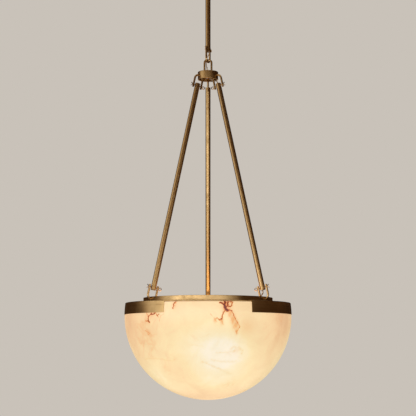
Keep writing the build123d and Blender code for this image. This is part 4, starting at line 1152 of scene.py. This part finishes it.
@dataclass
class Fittings:
    """Zinc-plated gear in the canopy and on the rim, blocks, washers, and the knurled thumb screw.

    Attributes:
        ring_low, ring_h: lower edge and height of the slip ring.
        tube_r: distance from the stem's axis to the thumb screw's tip.
        screw_r, shank_l: radius and length of the thumb screw's shank.
        head_r, head_l: radius and length of its head.
        knurls: ridges round the head.
    """

    ring_low: float = -45 * MM
    ring_h: float = 11 * MM
    tube_r: float = 7.23 * MM
    screw_r: float = 2 * MM
    shank_l: float = 7.27 * MM
    head_r: float = 4.5 * MM
    head_l: float = 7 * MM
    knurls: int = 28

    def thumb_screw(self, material: Material) -> None:
        """Thumb screw of the slip ring, its head knurled.

        The head's radius is multiplied by 1 - 0.07 (1 + cos(k a)) / 2 between its two chamfers.

        Args:
            material: its finish.
        """
        r, h, s, e, step = self.head_r, self.head_l, self.shank_l, 0.6 * MM, 0.1 * MM
        outline = np.array([[0, 0], [self.screw_r * 0.8, 0], [self.screw_r, 0.4 * MM], [self.screw_r, s],
                            [r - e, s], [r, s + e], [r, s + e + step], [r, s + h - e - step],
                            [r, s + h - e], [r - e, s + h], [r * 0.45, s + h],
                            [r * 0.4, s + h - 0.3 * MM], [0, s + h - 0.3 * MM]])
        columns = self.knurls * 8
        ripple = np.ones((len(outline) - 2, columns))
        ripple[5:7] = 1 - 0.07 * (1 + np.cos(np.linspace(0, FULL * self.knurls, columns, endpoint=False))) / 2
        origin = np.array([0.0, self.tube_r, self.ring_low + self.ring_h / 2])
        shell = turned(outline, origin, np.array([0.0, 1.0, 0.0]), columns, ripple)
        piece = build_object("thumb_screw_knurled", shell, material, 30.0)
        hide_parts("collar_screw")
        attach(piece, "canopy")

    def block_screws(self, material: Material) -> None:
        """Plain screws down in the wells of the two terminal blocks.

        Args:
            material: their finish.
        """
        r, drop = 1.85, 2.2
        outline = np.array([[0, -5.0], [r, -5.0], [r, -drop - 0.2], [r - 0.2, -drop], [0.5, -drop],
                            [0, -drop]]) * MM
        supply = [(x, 46.0, -14.0) for x in (-6.5, 0.0, 6.5)]
        junction = [(5.5 * math.cos(a), 5.5 * math.sin(a), -1054.33) for a in np.radians((0, 120, 240))]
        for name, spots, body in (("supply_screws", supply, "ceiling_mount"),
                                  ("junction_screws", junction, "pendant")):
            shells = [turned(outline, np.array(p) * MM, UP, 32) for p in spots]
            piece = build_object(name, joined(shells), material, 30.0)
            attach(piece, body)

    def dress(self) -> int:
        """Dress the gear and make the thumb screw and the block screws.

        Returns:
            How many nodes were dressed.
        """
        zinc = Metal("steel, pressed and zinc plated", "#C4C6C4", "#AEB1B0", "#83827C", Marks.ROLLED,
                     line=0.8 * MM, patch=12 * MM, rough=0.36, tarnish=0.4).build()
        screw = Metal("steel screw, headed and zinc plated", "#CACBC8", "#B3B4B1", "#7D7C76", Marks.TURNED,
                      line=0.5 * MM, patch=5 * MM, rough=0.32, tarnish=0.4, spread=0.0).build()
        brass_screw = brass("brass, turned and knurled", Marks.TURNED, spread=0.0, patch=8 * MM)
        green = Metal("steel ground screw, green passivated", "#6FA07A", "#4F7F5C", "#2F5239", Marks.ROLLED,
                      patch=4 * MM, rough=0.4).build()
        rubber = Plain("black rubber, moulded", "#33302D", "#242220", grain=0.8 * MM, rough=0.7,
                       relief=0.05 * MM).build()
        silicone = Plain("silicone, moulded, milky", "#E2D6C2", "#D3C5AE", grain=2 * MM, rough=0.5,
                         relief=0.03 * MM).build()
        nylon = Plain("nylon, moulded", "#E8E4DA", "#DAD5C8", grain=1.5 * MM, rough=0.46,
                      relief=0.03 * MM).build()
        black = Plain("nylon bushing, moulded black", "#3A3632", "#2A2724", grain=1 * MM, rough=0.5).build()
        finishes = {"crossbar": zinc, "nipple_nuts": zinc, "stem_nipple": screw, "stem_bush": brass_screw,
                    "ground_screw": green, "hub_bail_nuts": brass_screw, "collar_screws": screw,
                    "spider_bolts": screw, "tab_studs": screw, "tab_nuts": screw, "lampholder_nuts": screw,
                    "rim_gasket": silicone, "tab_washers": rubber, "supply_block": nylon,
                    "splice_block": nylon, "cord_bushing": black}
        dress(finishes)
        self.thumb_screw(brass_screw)
        self.block_screws(screw)
        return len(finishes)


# ---------------------------------------------------------------- studio

@dataclass(frozen=True)
class Cloth:
    """One cloth of the tent: its brightness is a ramp over the azimuth times a ramp over the height.

    Attributes:
        around: stops of degrees right of the front, and brightness.
        up: stops of height in metres, and brightness; the whole height if left out.
    """

    around: tuple[tuple[float, float], ...]
    up: tuple[tuple[float, float], ...] = ((-1.9, 1.0), (0.9, 1.0))


@dataclass
class Studio:
    """Pale floor, soft lamps, a tent of soft boxes and flags for the metal, and the camera.

    Attributes:
        lens: focal length for a 36 mm sensor.
        camera, pitch: place of the camera, and its upward tilt in degrees.
        backdrop: colour of floor and surroundings.
        floor_z, floor_half: height of the floor and half its side.
        tent_r, tent_low, tent_high: radius of the tent, and its lowest and highest edge.
        tent_light: brightness of the tent's brightest cloth.
        cloths: low soft box ahead, strip behind the left shoulder, dim band beside the right tab and
            strip behind; the brightest counts.
        spot, spot_gain: lamp behind the low cloth for the front of the rim, and how much it adds.
        bowl_radiance, bowl_light_r: brightness and radius of the light in the bowl's mouth.
        middle: the point that the lamps face.
    """

    lens: float = 107.9
    camera: Point = (0.0, -3.435, -1.1825)
    pitch: float = 6.87
    backdrop: str = "#C9C2B9"
    floor_z: float = -2.05
    floor_half: float = 7.0
    tent_r: float = 1.2
    tent_low: float = -1.9
    tent_high: float = 0.9
    tent_light: float = 1.5
    cloths: tuple[Cloth, ...] = (
        Cloth(((-92, 0.03), (-78, 0.8), (-66, 1.0), (36, 1.0), (48, 0.42), (54, 0.0)),
              ((-1.25, 0.35), (-1.08, 1.0), (-0.90, 0.95), (-0.80, 0.46), (-0.53, 0.28), (-0.30, 0.12),
               (-0.05, 0.04), (0.4, 0.06))),
        Cloth(((-112, 0.0), (-100, 0.5), (-86, 1.0), (-60, 1.0), (-44, 0.6), (-20, 0.12), (0, 0.0)),
              ((-0.86, 0.0), (-0.74, 0.9), (-0.62, 0.9), (-0.45, 0.70), (-0.10, 0.72), (0.2, 0.42),
               (0.6, 0.2))),
        Cloth(((54, 0.0), (70, 0.16), (120, 0.10), (150, 0.0)),
              ((-0.97, 0.0), (-0.88, 1.0), (-0.74, 1.0), (-0.62, 0.0))),
        Cloth(((-179, 0.4), (-170, 0.0), (164, 0.0), (174, 0.4))))
    spot: Cloth = Cloth(((-66, 0.0), (-48, 1.0), (-24, 1.0), (-10, 0.65), (6, 0.6), (20, 0.38), (36, 0.0)),
                        ((-1.40, 0.0), (-1.25, 1.0), (-0.92, 1.0), (-0.84, 0.0)))
    spot_gain: float = 1.75
    bowl_radiance: float = 2.2
    bowl_light_r: float = 0.15
    middle: Point = (0.0, 0.0, -0.95)

    def set_camera(self) -> None:
        """Put the camera where the photograph was taken from."""
        lens = bpy.data.cameras.new("view")
        lens.lens = self.lens
        lens.sensor_width = 36.0
        lens.clip_end = 60.0
        holder = bpy.data.objects.new("view", lens)
        holder.location = self.camera
        holder.rotation_euler = (math.radians(90 + self.pitch), 0.0, 0.0)
        bpy.context.scene.collection.objects.link(holder)
        bpy.context.scene.camera = holder

    def floor(self) -> None:
        """Pale floor that keeps the pendant's shadow, fades into the backdrop and is clear from below."""
        g = Graph(bpy.data.materials.new("floor, matt painted"))
        place = g.place()
        tone = g.ramp(g.noise(place, 1 / 3, 3.0), [(0.3, self.backdrop), (0.7, "#CCC5BC")])
        paint = g.add("BsdfPrincipled", {"Base Color": tone, "Roughness": 0.9, "Emission Color": tone,
                                         "Emission Strength": 0.42}).outputs[0]
        far = g.add("VectorMath", {0: place}, operation="LENGTH").outputs["Value"]
        back = g.add("NewGeometry").outputs["Backfacing"]
        through = g.math("MAXIMUM", back, g.span(far, 2.4, 5.5, smooth=True))
        painted = g.surface("MixShader", {0: through, 1: paint, 2: g.add("BsdfTransparent").outputs[0]})
        corners = np.array([[-1, -1, 0], [1, -1, 0], [1, 1, 0], [-1, 1, 0]]) * self.floor_half
        shell = Shell(corners + UP * self.floor_z, [np.array([[0, 1, 2, 3]])])
        build_object("floor", shell, painted)

    def tent(self) -> None:
        """Round tent of soft boxes and black flags that only gloss sees, as photographers build for metal.

        Its points are (r cos a, r sin a, z).
        """
        g = Graph(bpy.data.materials.new("tent, soft boxes and black felt"))
        x, y, z = g.add("SeparateXYZ", {0: g.place()}).outputs
        around = g.span(g.math("ARCTAN2", x, g.math("MULTIPLY", y, -1.0)), -math.pi, math.pi)
        rise = g.span(z, self.tent_low, self.tent_high)
        reach = self.tent_high - self.tent_low

        def cover(cloth: Cloth) -> Socket:
            """Brightness of one cloth at the shaded point."""
            side = g.ramp(around, [((a + 180) / 360, level) for a, level in cloth.around])
            high = g.ramp(rise, [((h - self.tent_low) / reach, level) for h, level in cloth.up])
            return g.math("MULTIPLY", side, high)

        total = cover(self.cloths[0])
        for cloth in self.cloths[1:]:
            total = g.math("MAXIMUM", total, cover(cloth))
        tone = g.ramp(total, [(0.0, "#2C1C10"), (0.15, "#5A4430"), (0.4, "#A8967E"), (0.62, "#D0CBC2"),
                              (1.0, "#F8FCFF")])
        bright = g.math("MULTIPLY_ADD", cover(self.spot), self.spot_gain * self.tent_light, self.tent_light)
        material = g.surface("Emission", {"Color": tone, "Strength": bright})
        rows, columns = 12, 128
        angle = np.linspace(0, FULL, columns, endpoint=False)
        ring = np.stack([np.cos(angle), np.sin(angle), 0 * angle], -1) * self.tent_r
        points = ring + UP * np.linspace(self.tent_low, self.tent_high, rows)[:, None, None]
        wall = build_object("tent", Shell(points.reshape(-1, 3), [band(rows, columns)]), material)
        wall.visible_camera = wall.visible_diffuse = wall.visible_shadow = wall.visible_transmission = False

    def bowl_light(self) -> None:
        """Warm disk in the bowl's mouth: light on the rods, which the bulbs' glass is too dim to give."""
        light = bpy.data.lights.new("light_from_the_bowl", "AREA")
        light.shape = "DISK"
        light.size = 2 * self.bowl_light_r
        light.energy = self.bowl_radiance * (math.pi * self.bowl_light_r) ** 2
        light.color = linear("#FFC88C")[:3]
        holder = bpy.data.objects.new("light_from_the_bowl", light)
        holder.location = (0.0, 0.0, -1.046)
        holder.rotation_euler = (math.pi, 0.0, 0.0)
        holder.visible_camera = False
        bpy.context.scene.collection.objects.link(holder)
        bpy.context.view_layer.update()
        holder.parent = frame["bodies"]["pendant"]

    def lamp(self, name: str, place: Point, size: Point, radiance: float, colour: str) -> None:
        """Soft rectangular lamp; its power is radiance times pi times its area.

        Args:
            name: the lamp's name.
            place: its middle.
            size: width and height.
            radiance: brightness of its face, where 1 renders as white.
            colour: its hex colour.
        """
        light = bpy.data.lights.new(name, "AREA")
        light.shape = "RECTANGLE"
        light.size, light.size_y = size
        light.energy = radiance * math.pi * size[0] * size[1]
        light.color = linear(colour)[:3]
        holder = bpy.data.objects.new(name, light)
        back = np.array(place) - np.array(self.middle)
        back = back / np.linalg.norm(back)
        right = np.cross(UP, back)
        right /= np.linalg.norm(right)
        turn = np.eye(4)
        turn[:3] = np.stack([right, np.cross(back, right), back, place], -1)
        holder.matrix_world = turn.tolist()
        holder.visible_glossy = False
        bpy.context.scene.collection.objects.link(holder)

    def world(self) -> None:
        """Pale surroundings for camera, gloss and glass, and a softer level for diffuse light."""
        g = Graph(bpy.data.worlds.new("surroundings"))
        path = g.add("LightPath").outputs
        seen = g.math("MAXIMUM", path["Is Camera Ray"], path["Is Glossy Ray"])
        seen = g.math("MAXIMUM", seen, path["Is Transmission Ray"])
        pale = g.add("Background", {"Color": linear(self.backdrop), "Strength": 1.0}).outputs[0]
        soft = g.add("Background", {"Color": linear("#F2ECE4"), "Strength": 0.42}).outputs[0]
        g.add("OutputWorld", {"Surface": g.add("MixShader", {0: seen, 1: soft, 2: pale}).outputs[0]})
        bpy.context.scene.world = g.owner

    def build(self) -> None:
        """Set up camera, floor, tent, surroundings and lamps."""
        self.set_camera()
        self.floor()
        self.tent()
        self.world()
        self.bowl_light()
        self.lamp("key_left", (-2.5, -1.9, -0.5), (1.6, 2.4), 1.35, "#FFF4E6")
        self.lamp("fill_front", (0.3, -4.4, -0.2), (2.6, 1.6), 0.70, "#FFF6EC")
        self.lamp("top", (-0.2, -0.2, 1.6), (2.2, 2.2), 0.75, "#FFF8F0")


# ---------------------------------------------------------------- the pendant

def main() -> None:
    """Build every sub-assembly in order and report each."""
    logging.basicConfig(level=logging.INFO, format="%(message)s")
    bpy.context.scene.view_settings.view_transform = "Standard"
    Studio().build()
    log.info("studio: camera, floor, tent and lamps")
    Bowl().build(Alabaster().build())
    log.info("brass: %d nodes dressed", dress_brass())
    log.info("split pins: %d pieces", SplitPins().build())
    log.info("flex: %d pieces", Flex().build())
    log.info("lamps: %d nodes dressed", dress_lamps())
    log.info("fittings: %d nodes dressed, thumb screw and block screws made", Fittings().dress())


if __name__ == "__main__":
    main()
    bpy.context.view_layer.update()
